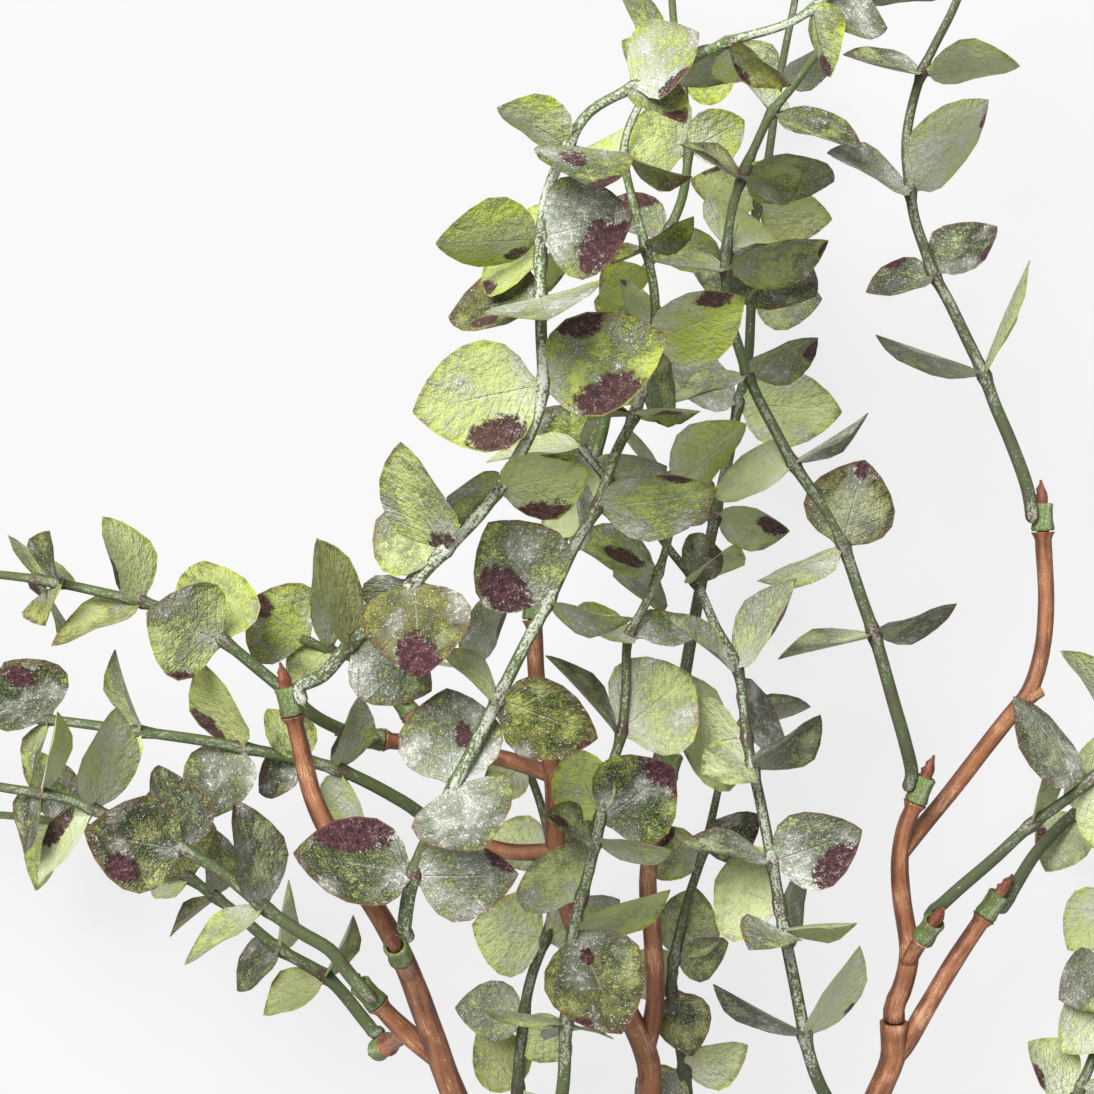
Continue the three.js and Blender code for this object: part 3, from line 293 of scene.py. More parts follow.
SHOOTS = (
    ShootPlan("shoot_front_tall", (
        (323, 675, 146), (350, 645, 150), (413, 583, 157), (447, 548, 160), (483, 510, 162),
        (515, 462, 164), (534, 424, 166), (543, 386, 167), (541, 325, 168), (541, 239, 170),
        (548, 191, 171), (569, 143, 172), (591, 111, 172), (632, 88, 172), (680, 65, 171),
        (728, 42, 170), (795, 20, 167), (850, -25, 162), (880, -75, 156),
    ), (
        Pair((543, 386), ((413, 412, 4, 0, 26), (667, 335, 6, 0, 24))),
        Pair((501, 491), ((590, 472, 3, 54, 26), (446, 496, 6, -54, 20))),
        Pair((445, 552), ((423, 432, 4, -50, 26), (376, 520, -12, 10, 22))),
        Pair((413, 583), ((420, 677, 10, 0, 26), (396, 640, -18, 20, 22))),
        Pair((541, 300), ((549, 322, 24, 0, 27), (447, 314, -12, 45))),
        Pair((541, 237), ((436, 245, 6, 130), (634, 214, 8, 0, 24))),
        Pair((541, 262), ((468, 247, -10, 20, 25), (571, 262, -15, 50, 18))),
        Pair((569, 143), ((498, 105, 4, 125), (598, 188, 19, -32, 23))),
        Pair((634, 90), ((700, 34, 4, -45, 26), (686, 124, 6, -40))),
        Pair((350, 645), ((318, 540, 6, 68), (425, 676, -12, 15))),
        Pair((728, 42), ((792, 84, 2, 72), (752, 78, -12, 40))),
        Pair((815, 5), ((829, 77, 4, 246), (886, 30, -6, -45, 22))),
    ), Fill(0.97, 1, 1)),
    ShootPlan("shoot_front_crossing", (
        (404, 928, 149), (412, 880, 151), (432, 830, 151), (455, 785, 151), (480, 735, 150),
        (499, 697, 149), (525, 645, 148), (548, 602, 147), (575, 545, 145), (597, 507, 143),
        (615, 455, 141), (635, 413, 139), (650, 357, 137), (655, 325, 136), (654, 290, 135),
        (646, 250, 135), (634, 205, 134), (624, 160, 133), (628, 130, 132), (645, 95, 129),
        (662, 70, 126),
    ), (
        Pair((412, 875), ((293, 854, 4, 42, 26), (518, 875, 4, 20))),
        Pair((455, 785), ((482, 850, 16, 0, 26), (446, 684, -8, 0, 25))),
        Pair((499, 697), ((424, 676, 4, 62), (598, 738, 2, 25))),
        Pair((548, 602), ((490, 525, 7, 0, 25), (633, 621, 2, 70))),
        Pair((597, 507), ((718, 491, 4, 50, 25), (580, 522, -20, 40))),
        Pair((635, 413), ((700, 411, 2, 84), (588, 419, 2, 84))),
        Pair((643, 392), ((674, 385, -20, 10),)),
        Pair((653, 342), ((745, 299, 2, 46, 25), (628, 292, -20, 60))),
        Pair((646, 250), ((694, 217, 4, 62), (612, 266, 4, 60))),
        Pair((624, 160), ((692, 178, 2, 76), (585, 150, -14, 40))),
    ), Fill(0.97, 1, 1)),
    ShootPlan("shoot_centre", (
        (545, 1150, 98), (562, 1094, 102), (566, 1023, 106), (572, 940, 109), (592, 858, 111),
        (608, 780, 112), (621, 735, 112), (626, 688, 112), (628, 640, 111), (645, 605, 108),
        (662, 562, 104), (672, 520, 98), (672, 485, 92),
    ), (
        Pair((566, 1025), ((480, 1008, 2, -80), (592, 1028, -20, 60))),
        Pair((574, 932), ((622, 1034, 6, 0, 26), (670, 889, 4, 62))),
        Pair((583, 900), ((532, 860, -14, 20, 24),)),
        Pair((594, 842), ((546, 815, 10, 62, 15), (672, 849, 10, 62, 16))),
        Pair((601, 820), ((566, 748, -4, -20), (674, 768, 0, 10, 25))),
        Pair((621, 733), ((546, 655, 2, 80), (692, 674, -7, 0, 27))),
        Pair((628, 636), ((565, 620, 8, 62), (703, 622, -6, -50, 15))),
        Pair((658, 572), ((568, 538, 2, 62, 24), (716, 534, -24, 10, 23))),
    ), Fill(0.98, 1, 1)),
    ShootPlan("shoot_right_centre", (
        (838, 1118, 88), (820, 1085, 95), (808, 1050, 99), (795, 985, 103), (785, 935, 105),
        (772, 862, 107), (760, 800, 108), (748, 745, 108), (738, 670, 107), (715, 625, 105),
        (697, 585, 102), (670, 550, 90), (640, 510, 84), (603, 475, 96), (580, 445, 98),
    ), (
        Pair((805, 1035), ((714, 983, 4, -72), (860, 946, 4, 60))),
        Pair((785, 932), ((750, 947, 16, 60), (857, 925, 4, 70))),
        Pair((771, 862), ((680, 836, 5, 78), (862, 830, 4, 10))),
        Pair((781, 905), ((708, 878, -12, 0, 25), (806, 900, -14, 10, 22))),
        Pair((758, 768), ((702, 778, 4, 62, 23), (821, 716, 6, 60, 23))),
        Pair((738, 670), ((797, 579, 4, -66, 22), (632, 648, 16, 50, 13))),
        Pair((694, 582), ((658, 594, 15, 60, 12), (734, 543, 10, 66, 20))),
        Pair((752, 735), ((684, 748, -20, 0, 25), (768, 700, -22, 20, 22))),
        Pair((603, 475), ((665, 430, 0, 35), (560, 535, -14, 40))),
    ), Fill(0.99, 1, 1)),
    ShootPlan("shoot_right", (
        (905, 742, 92), (893, 700, 93), (876, 640, 94), (862, 600, 94), (843, 545, 94),
        (825, 510, 94), (793, 463, 94), (775, 430, 94), (752, 385, 94), (738, 345, 94),
        (728, 310, 94), (726, 265, 94), (731, 215, 94), (742, 178, 94), (758, 140, 94),
        (772, 112, 94), (790, 90, 94), (812, 60, 94), (845, 15, 94), (880, -45, 92),
    ), (
        Pair((872, 636), ((956, 602, 2, 70, 24), (778, 657, 2, 82))),
        Pair((843, 545), ((865, 460, 2, 188, 24), (758, 583, 2, 252))),
        Pair((793, 463), ((870, 416, 2, 82), (702, 474, -12, 50))),
        Pair((746, 374), ((818, 338, 4, 65, 24), (672, 404, 2, 70))),
        Pair((727, 268), ((829, 242, 4, 62), (650, 262, 2, 68))),
        Pair((772, 112), ((861, 149, 4, -58), (742, 72, -12, 60))),
        Pair((742, 178), ((682, 142, 2, 70), (798, 187, 10, 72))),
        Pair((727, 250), ((744, 212, -20, 10, 23), (816, 296, -16, 40, 22))),
        Pair((748, 165), ((834, 182, -12, 58, 22),)),
    ), Fill(0.97, 1, 1)),
    ShootPlan("shoot_far_right", (
        (1025, 480, 88), (1010, 440, 88), (995, 405, 88), (984, 375, 88), (965, 335, 88),
        (948, 300, 88), (934, 275, 88), (925, 250, 88), (915, 220, 88), (910, 190, 88),
        (906, 150, 88), (910, 115, 88), (922, 72, 88), (935, 45, 88), (955, 5, 87),
        (975, -50, 84), (990, -100, 80),
    ), (
        Pair((984, 375), ((876, 335, 2, -84), (1031, 261, 2, 84))),
        Pair((934, 273), ((866, 293, -2, 62, 22), (996, 225, 0, -54, 23))),
        Pair((911, 190), ((818, 172, 6, 58), (989, 100, 2, 232))),
        Pair((922, 72), ((843, 55, 2, 66), (1020, 67, 2, 248))),
    ), Fill(0.86, 1, 2)),
    ShootPlan("shoot_right_low", (
        (1014, 888, 82), (1040, 848, 77), (1078, 812, 70), (1125, 795, 60), (1170, 796, 41),
        (1205, 812, 17),
    ), (
        Pair((1078, 812), ((1046, 872, 2, 15), (1100, 735, 2, 30))),
    ), Fill(0.7, 0.99, 2)),
    ShootPlan("shoot_right_high", (
        (940, 906, 92), (960, 888, 95), (995, 858, 99), (1030, 826, 102), (1088, 782, 102),
        (1125, 735, 98), (1145, 680, 92), (1150, 620, 86),
    ), (
        Pair((1032, 824), ((1048, 757, 4, 60),)),
        Pair((1088, 782), ((1002, 705, 2, 235), (1160, 850, 0, 30))),
    ), Fill(0.72, 1, 2)),
    ShootPlan("shoot_lower_left", (
        (350, 975, 127), (330, 950, 128), (300, 932, 128), (265, 908, 128), (225, 875, 128),
        (185, 850, 127), (150, 832, 126), (100, 812, 124), (60, 797, 121), (0, 787, 114),
        (-60, 775, 100), (-105, 765, 84),
    ), (
        Pair((264, 906), ((238, 800, 2, 62), (185, 965, 2, 74))),
        Pair((184, 850), ((84, 832, 7, 0, 24), (160, 764, -10, 55))),
        Pair((95, 810), ((36, 883, -8, 60, 18), (116, 707, 2, 60))),
        Pair((42, 792), ((60, 712, 2, 82), (34, 853, -8, 64, 20))),
    ), Fill(0.78, 1, 2)),
    ShootPlan("shoot_lower_left_back", (
        (366, 1022, 94), (328, 978, 84), (278, 948, 74), (230, 908, 66), (180, 872, 58),
        (120, 838, 48), (60, 822, 37), (0, 815, 25), (-50, 815, 12),
    ), (
        Pair((326, 977), ((264, 1016, 0, 64, 20), (353, 915, 0, 75))),
        Pair((278, 948), ((236, 990, -2, 62, 20), (290, 880, -10, 82, 20))),
        Pair((212, 898), ((168, 934, 0, 82), (218, 830, 0, 60))),
        Pair((190, 880), ((150, 888, -2, 60, 20), (150, 790, -8, 20))),
        Pair((60, 822), ((33, 890, -4, 50), (40, 752, -4, 50))),
    ), Fill(0.97, 1, 1)),
    ShootPlan("shoot_left", (
        (432, 822, 80), (400, 800, 84), (345, 772, 89), (290, 757, 92), (243, 748, 94),
        (200, 740, 95), (143, 732, 95), (100, 726, 94), (50, 720, 91), (0, 718, 84),
        (-60, 716, 72), (-110, 716, 58),
    ), (
        Pair((338, 770), ((334, 690, 0, 60), (372, 868, -14, 58, 21))),
        Pair((305, 760), ((258, 792, -6, 35), (268, 708, -6, 45))),
        Pair((243, 748), ((200, 660, 4, -54, 23), (197, 820, 4, 38, 24))),
        Pair((141, 732), ((114, 650, 4, -68), (92, 798, 2, 45))),
        Pair((48, 720), ((4, 662, 2, 0, 23), (26, 785, 2, 65))),
    ), Fill(0.82, 1, 2)),
    ShootPlan("shoot_upper_left", (
        (352, 734, 84), (318, 718, 93), (290, 695, 99), (262, 672, 102), (225, 642, 104),
        (190, 618, 105), (142, 602, 105), (100, 592, 104), (58, 583, 102), (20, 577, 97),
        (-30, 572, 88), (-80, 568, 76),
    ), (
        Pair((224, 642), ((146, 612, 9, 0, 26), (205, 560, -18, 30, 22))),
        Pair((142, 602), ((102, 517, 4, 62), (52, 647, 4, 66))),
        Pair((58, 583), ((49, 531, 6, -64, 22), (44, 625, 6, 62, 22))),
        Pair((40, 580), ((28, 546, -14, 70, 22), (33, 635, -8, 58, 22))),
    ), Fill(0.97, 1, 1)),
    ShootPlan("shoot_left_short", (
        (400, 690, 66), (372, 665, 68), (335, 652, 70), (300, 638, 72),
    ), (
        Pair((372, 665), ((352, 600, 0, 30), (372, 696, 10, 20))),
        Pair((330, 650), ((318, 538, 4, 64, 22), (288, 688, 2, 30))),
        Pair((308, 641), ((250, 600, 0, 0, 24),)),
    )),
    ShootPlan("shoot_back_centre", (
        (545, 575, 82), (575, 510, 81), (600, 440, 80), (608, 395, 79), (615, 340, 78),
        (630, 300, 77), (650, 262, 76), (668, 232, 75), (684, 190, 73), (688, 130, 70),
        (678, 60, 66), (672, 0, 60), (672, -40, 54),
    ), (
        Pair((592, 460), ((542, 405, 6, 10), (650, 470, -6, 40))),
        Pair((612, 365), ((560, 340, 6, 40), (665, 395, -4, 40))),
        Pair((630, 300), ((604, 262, 14, 0), (612, 332, -16, 20))),
        Pair((668, 232), ((600, 205, -2, 40), (722, 262, -4, 40))),
        Pair((686, 150), ((630, 125, 0, 10, 24), (745, 120, -2, 10))),
        Pair((682, 85), ((622, 40, 0, 30), (738, 70, -2, 10))),
    ), Fill(0.97, 1, 1)),
    ShootPlan("shoot_back_right", (
        (674, 745, 52), (684, 680, 48), (700, 590, 43), (717, 508, 40), (728, 460, 38),
        (737, 410, 36), (748, 360, 34), (751, 310, 33), (756, 215, 32), (768, 160, 31),
        (777, 95, 30), (785, 50, 26), (795, 0, 20), (802, -45, 11),
    ), (
        Pair((716, 515), ((790, 530, 2, 50), (650, 480, 0, 30))),
        Pair((739, 402), ((842, 412, 2, 10, 22), (650, 372, 0, 50))),
        Pair((752, 295), ((822, 300, 2, 20), (690, 262, -2, 30))),
        Pair((757, 205), ((832, 220, 0, 40), (690, 180, 0, 30))),
        Pair((780, 80), ((840, 45, 0, 60), (722, 50, 0, 30))),
    ), Fill(0.97, 1, 1)),
    ShootPlan("shoot_back_low", (
        (520, 1150, 42), (518, 1085, 46), (524, 1015, 50), (532, 975, 52), (548, 930, 55),
        (556, 880, 57), (545, 820, 58), (528, 770, 58), (500, 715, 56), (475, 665, 52),
    ), (
        Pair((518, 1090), ((478, 1030, 0, 20), (545, 1160, 0, 30))),
        Pair((524, 1015), ((455, 1008, 2, 20), (570, 1060, -2, 20))),
        Pair((545, 940), ((472, 925, 2, 0, 23), (620, 900, 0, 30))),
        Pair((552, 850), ((482, 842, 0, 30), (600, 800, 0, 20))),
        Pair((524, 765), ((486, 800, 2, 10), (560, 710, 0, 10))),
    ), Fill(0.98, 1, 1)),
    ShootPlan("shoot_back_low_right", (
        (690, 1135, 48), (687, 1094, 51), (682, 1055, 54), (672, 1000, 57), (674, 960, 58),
        (688, 900, 58), (704, 850, 56), (718, 790, 50), (728, 735, 42),
    ), (
        Pair((685, 1070), ((748, 1046, 2, 30), (640, 1125, -4, 30))),
        Pair((672, 992), ((692, 1056, 2, 0), (618, 960, -8, 30))),
        Pair((674, 960), ((708, 892, 4, 10), (730, 945, -6, 30))),
        Pair((704, 850), ((760, 815, -2, 30), (640, 865, -4, 30))),
    ), Fill(0.98, 1, 1)),
    ShootPlan("shoot_corner", (
        (1010, 1165, 50), (1060, 1120, 47), (1092, 1060, 44), (1108, 990, 40), (1116, 920, 34),
        (1120, 860, 26),
    ), (
        Pair((1078, 1090), ((1028, 1042, 2, 30), (1150, 1110, 0, 30))),
        Pair((1105, 1005), ((1056, 1056, 4, 10), (1175, 975, 0, 20))),
        Pair((1110, 970), ((1058, 1000, 12, 10), (1128, 1050, -12, 20))),
        Pair((1118, 895), ((1068, 950, 2, 20), (1180, 860, -4, 30))),
    ), Fill(0.97, 1, 1)),
)

# Tone of each shoot at its foot and at its tip
TONES = {
    "shoot_front_tall": (Tone.MUTED, Tone.FRESH),
    "shoot_front_crossing": (Tone.MUTED, Tone.FRESH),
    "shoot_centre": (Tone.MUTED, Tone.GREEN),
    "shoot_right_centre": (Tone.GREY, Tone.GREY),
    "shoot_right": (Tone.GREY, Tone.GREEN),
    "shoot_far_right": (Tone.GREY, Tone.MUTED),
    "shoot_right_low": (Tone.GREY, Tone.GREY),
    "shoot_right_high": (Tone.GREY, Tone.MUTED),
    "shoot_lower_left": (Tone.MUTED, Tone.MUTED),
    "shoot_lower_left_back": (Tone.MUTED, Tone.GREEN),
    "shoot_left": (Tone.MUTED, Tone.GREEN),
    "shoot_upper_left": (Tone.MUTED, Tone.GREEN),
    "shoot_left_short": (Tone.MUTED, Tone.GREEN),
    "shoot_back_centre": (Tone.GREEN, Tone.GREEN),
    "shoot_back_right": (Tone.GREY, Tone.MUTED),
    "shoot_back_low": (Tone.GREY, Tone.MUTED),
    "shoot_back_low_right": (Tone.GREY, Tone.MUTED),
    "shoot_corner": (Tone.GREY, Tone.MUTED),
}

# How thickly the stem of a shoot is powdered, 0 to 1, where it isn't thin
STEM_POWDER = {
    "shoot_front_tall": 0.95,
    "shoot_front_crossing": 0.7,
    "shoot_centre": 0.5,
    "shoot_right_centre": 0.6,
    "shoot_far_right": 0.3,
}
THIN_POWDER = 0.12

# Purple-brown blotches that the picture shows, as (column, row, radius in pixels)
BLOTCHES = {
    "shoot_front_tall": (
        (420, 664, 27), (446, 550, 25), (545, 519, 33), (500, 436, 28), (609, 397, 31),
        (580, 320, 22), (488, 289, 12), (482, 322, 13), (603, 246, 28), (515, 252, 12),
        (572, 160, 17), (608, 186, 20), (675, 84, 20), (679, 118, 14), (735, 80, 13),
        (824, 66, 14),
    ),
    "shoot_front_crossing": (
        (354, 826, 34), (505, 855, 16), (461, 736, 12), (583, 746, 6), (505, 590, 25),
        (676, 470, 17), (628, 396, 12), (716, 299, 18), (652, 216, 14),
    ),
    "shoot_centre": ((585, 955, 8), (669, 768, 26), (560, 822, 10), (585, 1028, 10), (622, 557, 19)),
    "shoot_right_centre": ((838, 869, 25), (789, 622, 17), (851, 1010, 9)),
    "shoot_right": ((862, 470, 9), (813, 351, 13), (828, 250, 9)),
    "shoot_far_right": ((985, 120, 8), (895, 262, 9)),
    "shoot_lower_left": ((123, 869, 17), (232, 812, 9)),
    "shoot_left": ((208, 727, 20), (20, 676, 13)),
    "shoot_upper_left": ((112, 576, 17), (28, 594, 26), (180, 678, 13)),
    "shoot_left_short": ((254, 604, 18),),
    "shoot_back_right": ((772, 524, 15),),
}

SHADE_LETTERS = {"p": Shade.PALE, "m": Shade.MIDDLE, "d": Shade.DARK}

# One letter for each listed leaf, pair by pair: pale, middling, dark, or a dot for chance
# The letters follow how dark each leaf shows, so they hold painted shade as well as each leaf's own tone
SHADES = {
    "shoot_front_tall": "pm p. m. d. .. pd p. .d m. .d .. .d",
    "shoot_front_crossing": "dd dd .d d. m. .. . p. .. ..",
    "shoot_centre": ".. dp m .. pd .m .. m.",
    "shoot_right_centre": ".. .. .d p. .. m. .. p. ..",
    "shoot_right": ".. d. .p .. m. d. .. .. .",
    "shoot_far_right": ".. dd .p .p",
    "shoot_right_low": "pp",
    "shoot_right_high": ". d.",
    "shoot_lower_left": "d. dd pp ..",
    "shoot_left": "m. .. pd .. d.",
    "shoot_upper_left": "m. p. .. ..",
    "shoot_left_short": "d. .. m",
    "shoot_back_centre": "d. .. p. .. .. ..",
    "shoot_back_right": ".. p. .. .p ..",
    "shoot_back_low": ".. .. p. .. ..",
    "shoot_back_low_right": "p. d. m. .m",
}


def placed(spot: Sequence[float]) -> np.ndarray:
    """Point that the picture shows at a column and row, at a given height.

    Args:
        spot: Column and row in pixels, and height in mm.

    Returns:
        The point in mm, in the picture's own frame.
    """
    column, row, height = spot
    scale = (LENS_HEIGHT - height) / FOCAL_PIXELS
    return np.array([(column - PICTURE_CENTRE) * scale, (PICTURE_CENTRE - row) * scale, height])


def seen_at(points: np.ndarray) -> np.ndarray:
    """Column and row at which the picture shows points.

    Args:
        points: Array (..., 3) in mm, in the picture's own frame.

    Returns:
        Array (..., 2) of pixels.
    """
    scale = FOCAL_PIXELS / (LENS_HEIGHT - points[..., 2])
    column = PICTURE_CENTRE + points[..., 0] * scale
    row = PICTURE_CENTRE - points[..., 1] * scale
    return np.stack([column, row], axis=-1)


def unit(vectors: np.ndarray) -> np.ndarray:
    """Vectors scaled to length one along the last axis."""
    return vectors / np.linalg.norm(vectors, axis=-1, keepdims=True)


def turned(vector: np.ndarray, axis: np.ndarray, degrees: float) -> np.ndarray:
    """A vector turned round a unit axis by the right-hand rule.

    Args:
        vector: The vector.
        axis: The unit axis.
        degrees: The turn.

    Returns:
        v cos a + (k x v) sin a + k (k . v)(1 - cos a).
    """
    angle = math.radians(degrees)
    along_axis = axis * np.dot(axis, vector) * (1 - math.cos(angle))
    return vector * math.cos(angle) + np.cross(axis, vector) * math.sin(angle) + along_axis


def draw(seed: float) -> float:
    """Repeatable draw between 0 and 1: the fraction of a large multiple of a sine."""
    value = math.sin(seed * DRAW_TURN) * DRAW_SPREAD
    return value - math.floor(value)


def step_count(length: float, step: float) -> int:
    """Whole steps along a length, two at least."""
    return max(2, math.floor(length / step + 0.5))


class SmoothCurve:
    """Uniform Catmull-Rom curve through points, with even travel by arc length."""

    DIVISIONS = 200
    TANGENT_STEP = 0.0001

    def __init__(self, points: Iterable[np.ndarray]) -> None:
        """Pads the points with one mirrored past each end.

        Args:
            points: The points that the curve passes through, in order.
        """
        inner = np.array(list(points), float)
        first = 2 * inner[0] - inner[1]
        last = 2 * inner[-1] - inner[-2]
        self.padded = np.vstack([first, inner, last])
        self.spans = len(inner) - 1
        self.grid = np.linspace(0, 1, self.DIVISIONS + 1)
        chords = np.linalg.norm(np.diff(self.point(self.grid), axis=0), axis=1)
        self.travel = np.concatenate([[0.0], np.cumsum(chords)])
        self.length = float(self.travel[-1])

    def point(self, t: np.ndarray) -> np.ndarray:
        """Points at curve fractions: one cubic per span, with half-difference slopes.

        Args:
            t: Fractions between 0 and 1.

        Returns:
            Array (n, 3) of points.
        """
        travel = np.clip(np.asarray(t, float), 0, 1) * self.spans
        span = np.minimum(np.floor(travel).astype(int), self.spans - 1)
        w = (travel - span)[:, None]
        p0, p1, p2, p3 = (self.padded[span + k] for k in range(4))
        slope_in = 0.5 * (p2 - p0)
        slope_out = 0.5 * (p3 - p1)
        square = -3 * p1 + 3 * p2 - 2 * slope_in - slope_out
        cube = 2 * p1 - 2 * p2 + slope_in + slope_out
        return p1 + slope_in * w + square * w**2 + cube * w**3

    def fraction(self, share: np.ndarray) -> np.ndarray:
        """Curve fractions at shares of the arc length, read off the chord table."""
        return np.interp(np.asarray(share) * self.length, self.travel, self.grid)

    def spaced(self, share: np.ndarray) -> np.ndarray:
        """Points at shares of the arc length."""
        return self.point(self.fraction(share))

    def tangent(self, share: np.ndarray) -> np.ndarray:
        """Unit directions at shares of the arc length, from a small step each way."""
        t = self.fraction(share)
        ahead = self.point(np.minimum(t + self.TANGENT_STEP, 1))
        behind = self.point(np.maximum(t - self.TANGENT_STEP, 0))
        return unit(ahead - behind)

    def bar_samples(self, step: float) -> np.ndarray:
        """Even samples along the chords of the faceted bar that follows the curve.

        Args:
            step: Length of one bar segment in mm.

        Returns:
            Array (CURVE_SAMPLES + 1, 3) of points.
        """
        steps = step_count(self.length, step)
        corners = self.spaced(np.linspace(0, 1, steps + 1))
        share = np.arange(CURVE_SAMPLES + 1) / CURVE_SAMPLES
        segment = np.minimum(np.floor(share * steps).astype(int), steps - 1)
        w = (share * steps - segment)[:, None]
        return corners[segment] + (corners[segment + 1] - corners[segment]) * w


@dataclass(frozen=True)
class Seat:
    """End of an arm and the direction in which it points."""

    end: np.ndarray
    axis: np.ndarray


def find_seats() -> dict[str, Seat]:
    """Peg seats of all shoots, from the last two places of each arm's route.

    Returns:
        The seat by the name of the shoot that it holds.
    """
    seats = {}
    for twig in TWIGS:
        for arm in twig.arms:
            if arm.holds:
                last, before = placed(arm.route[-1]), placed(arm.route[-2])
                seats[arm.holds] = Seat(last, unit(last - before))
    return seats


SEATS = find_seats()


def shoot_curve(plan: ShootPlan) -> SmoothCurve:
    """Stem curve of a shoot: out of the collar's side, then along its route.

    Args:
        plan: The shoot.

    Returns:
        The curve in mm.
    """
    seat = SEATS[plan.name]
    points = [placed(spot) for spot in plan.route]
    toward = points[0] - seat.end
    side = unit(toward - seat.axis * np.dot(toward, seat.axis))
    offset = COLLAR_RADIUS + STEM_RADIUS * FOOT_SINK
    foot = seat.end + seat.axis * FOOT_HEIGHT + side * offset
    knee = seat.end + seat.axis * COLLAR_LENGTH + side * (offset + KNEE_OUT)
    return SmoothCurve([foot, knee, *points])


@dataclass(frozen=True)
class Leaf:
    """One leaf's root, directions and size in mm, its seat and its listed shade.

    The seat is the shoot's number and the index of the stem sample that it grows from.
    """

    root: np.ndarray
    along: np.ndarray
    face: np.ndarray
    across: np.ndarray
    length: float
    width: float
    seat: tuple[int, int]
    shade: Optional[Shade] = None

    def point(self, t: np.ndarray, s: np.ndarray) -> np.ndarray:
        """Points on the solid leaf's middle surface.

        The blade starts a neck's length from the root. Its half-width is a power of the
        distance from the neck times a power of the distance from the tip, and its edges
        rise by the square of s times a half sine along the blade.

        Args:
            t: Fractions from neck to tip.
            s: Places from edge to edge, -1 to 1.

        Returns:
            Array (..., 3) of points.
        """
        total = LEAF_BASE_POWER + LEAF_TIP_POWER
        widest = LEAF_BASE_POWER / total
        peak = widest**LEAF_BASE_POWER * (1 - widest) ** LEAF_TIP_POWER
        share = t**LEAF_BASE_POWER * (1 - t) ** LEAF_TIP_POWER / peak
        half = np.maximum(self.width / 2 * share, LEAF_ROOT_WIDTH / 2)
        reach = LEAF_NECK + (self.length - LEAF_NECK) * t
        rise = LEAF_DISH * s * s * np.sin(math.pi * t)
        return (
            self.root
            + reach[..., None] * self.along
            + (half * s)[..., None] * self.across
            + rise[..., None] * self.face
        )

    def swung(self, tangent: np.ndarray, swing: float, spin: float) -> "Leaf":
        """The leaf swung at its root, then spun round the stem.

        Args:
            tangent: Direction of the stem at the node.
            swing: Degrees about the leaf's own cross direction.
            spin: Degrees about the stem.

        Returns:
            The moved leaf.
        """
        along = turned(turned(self.along, self.across, swing), tangent, spin)
        face = turned(turned(self.face, self.across, swing), tangent, spin)
        across = np.cross(face, along)
        return Leaf(
            self.root, along, face, across, self.length, self.width, self.seat, self.shade)


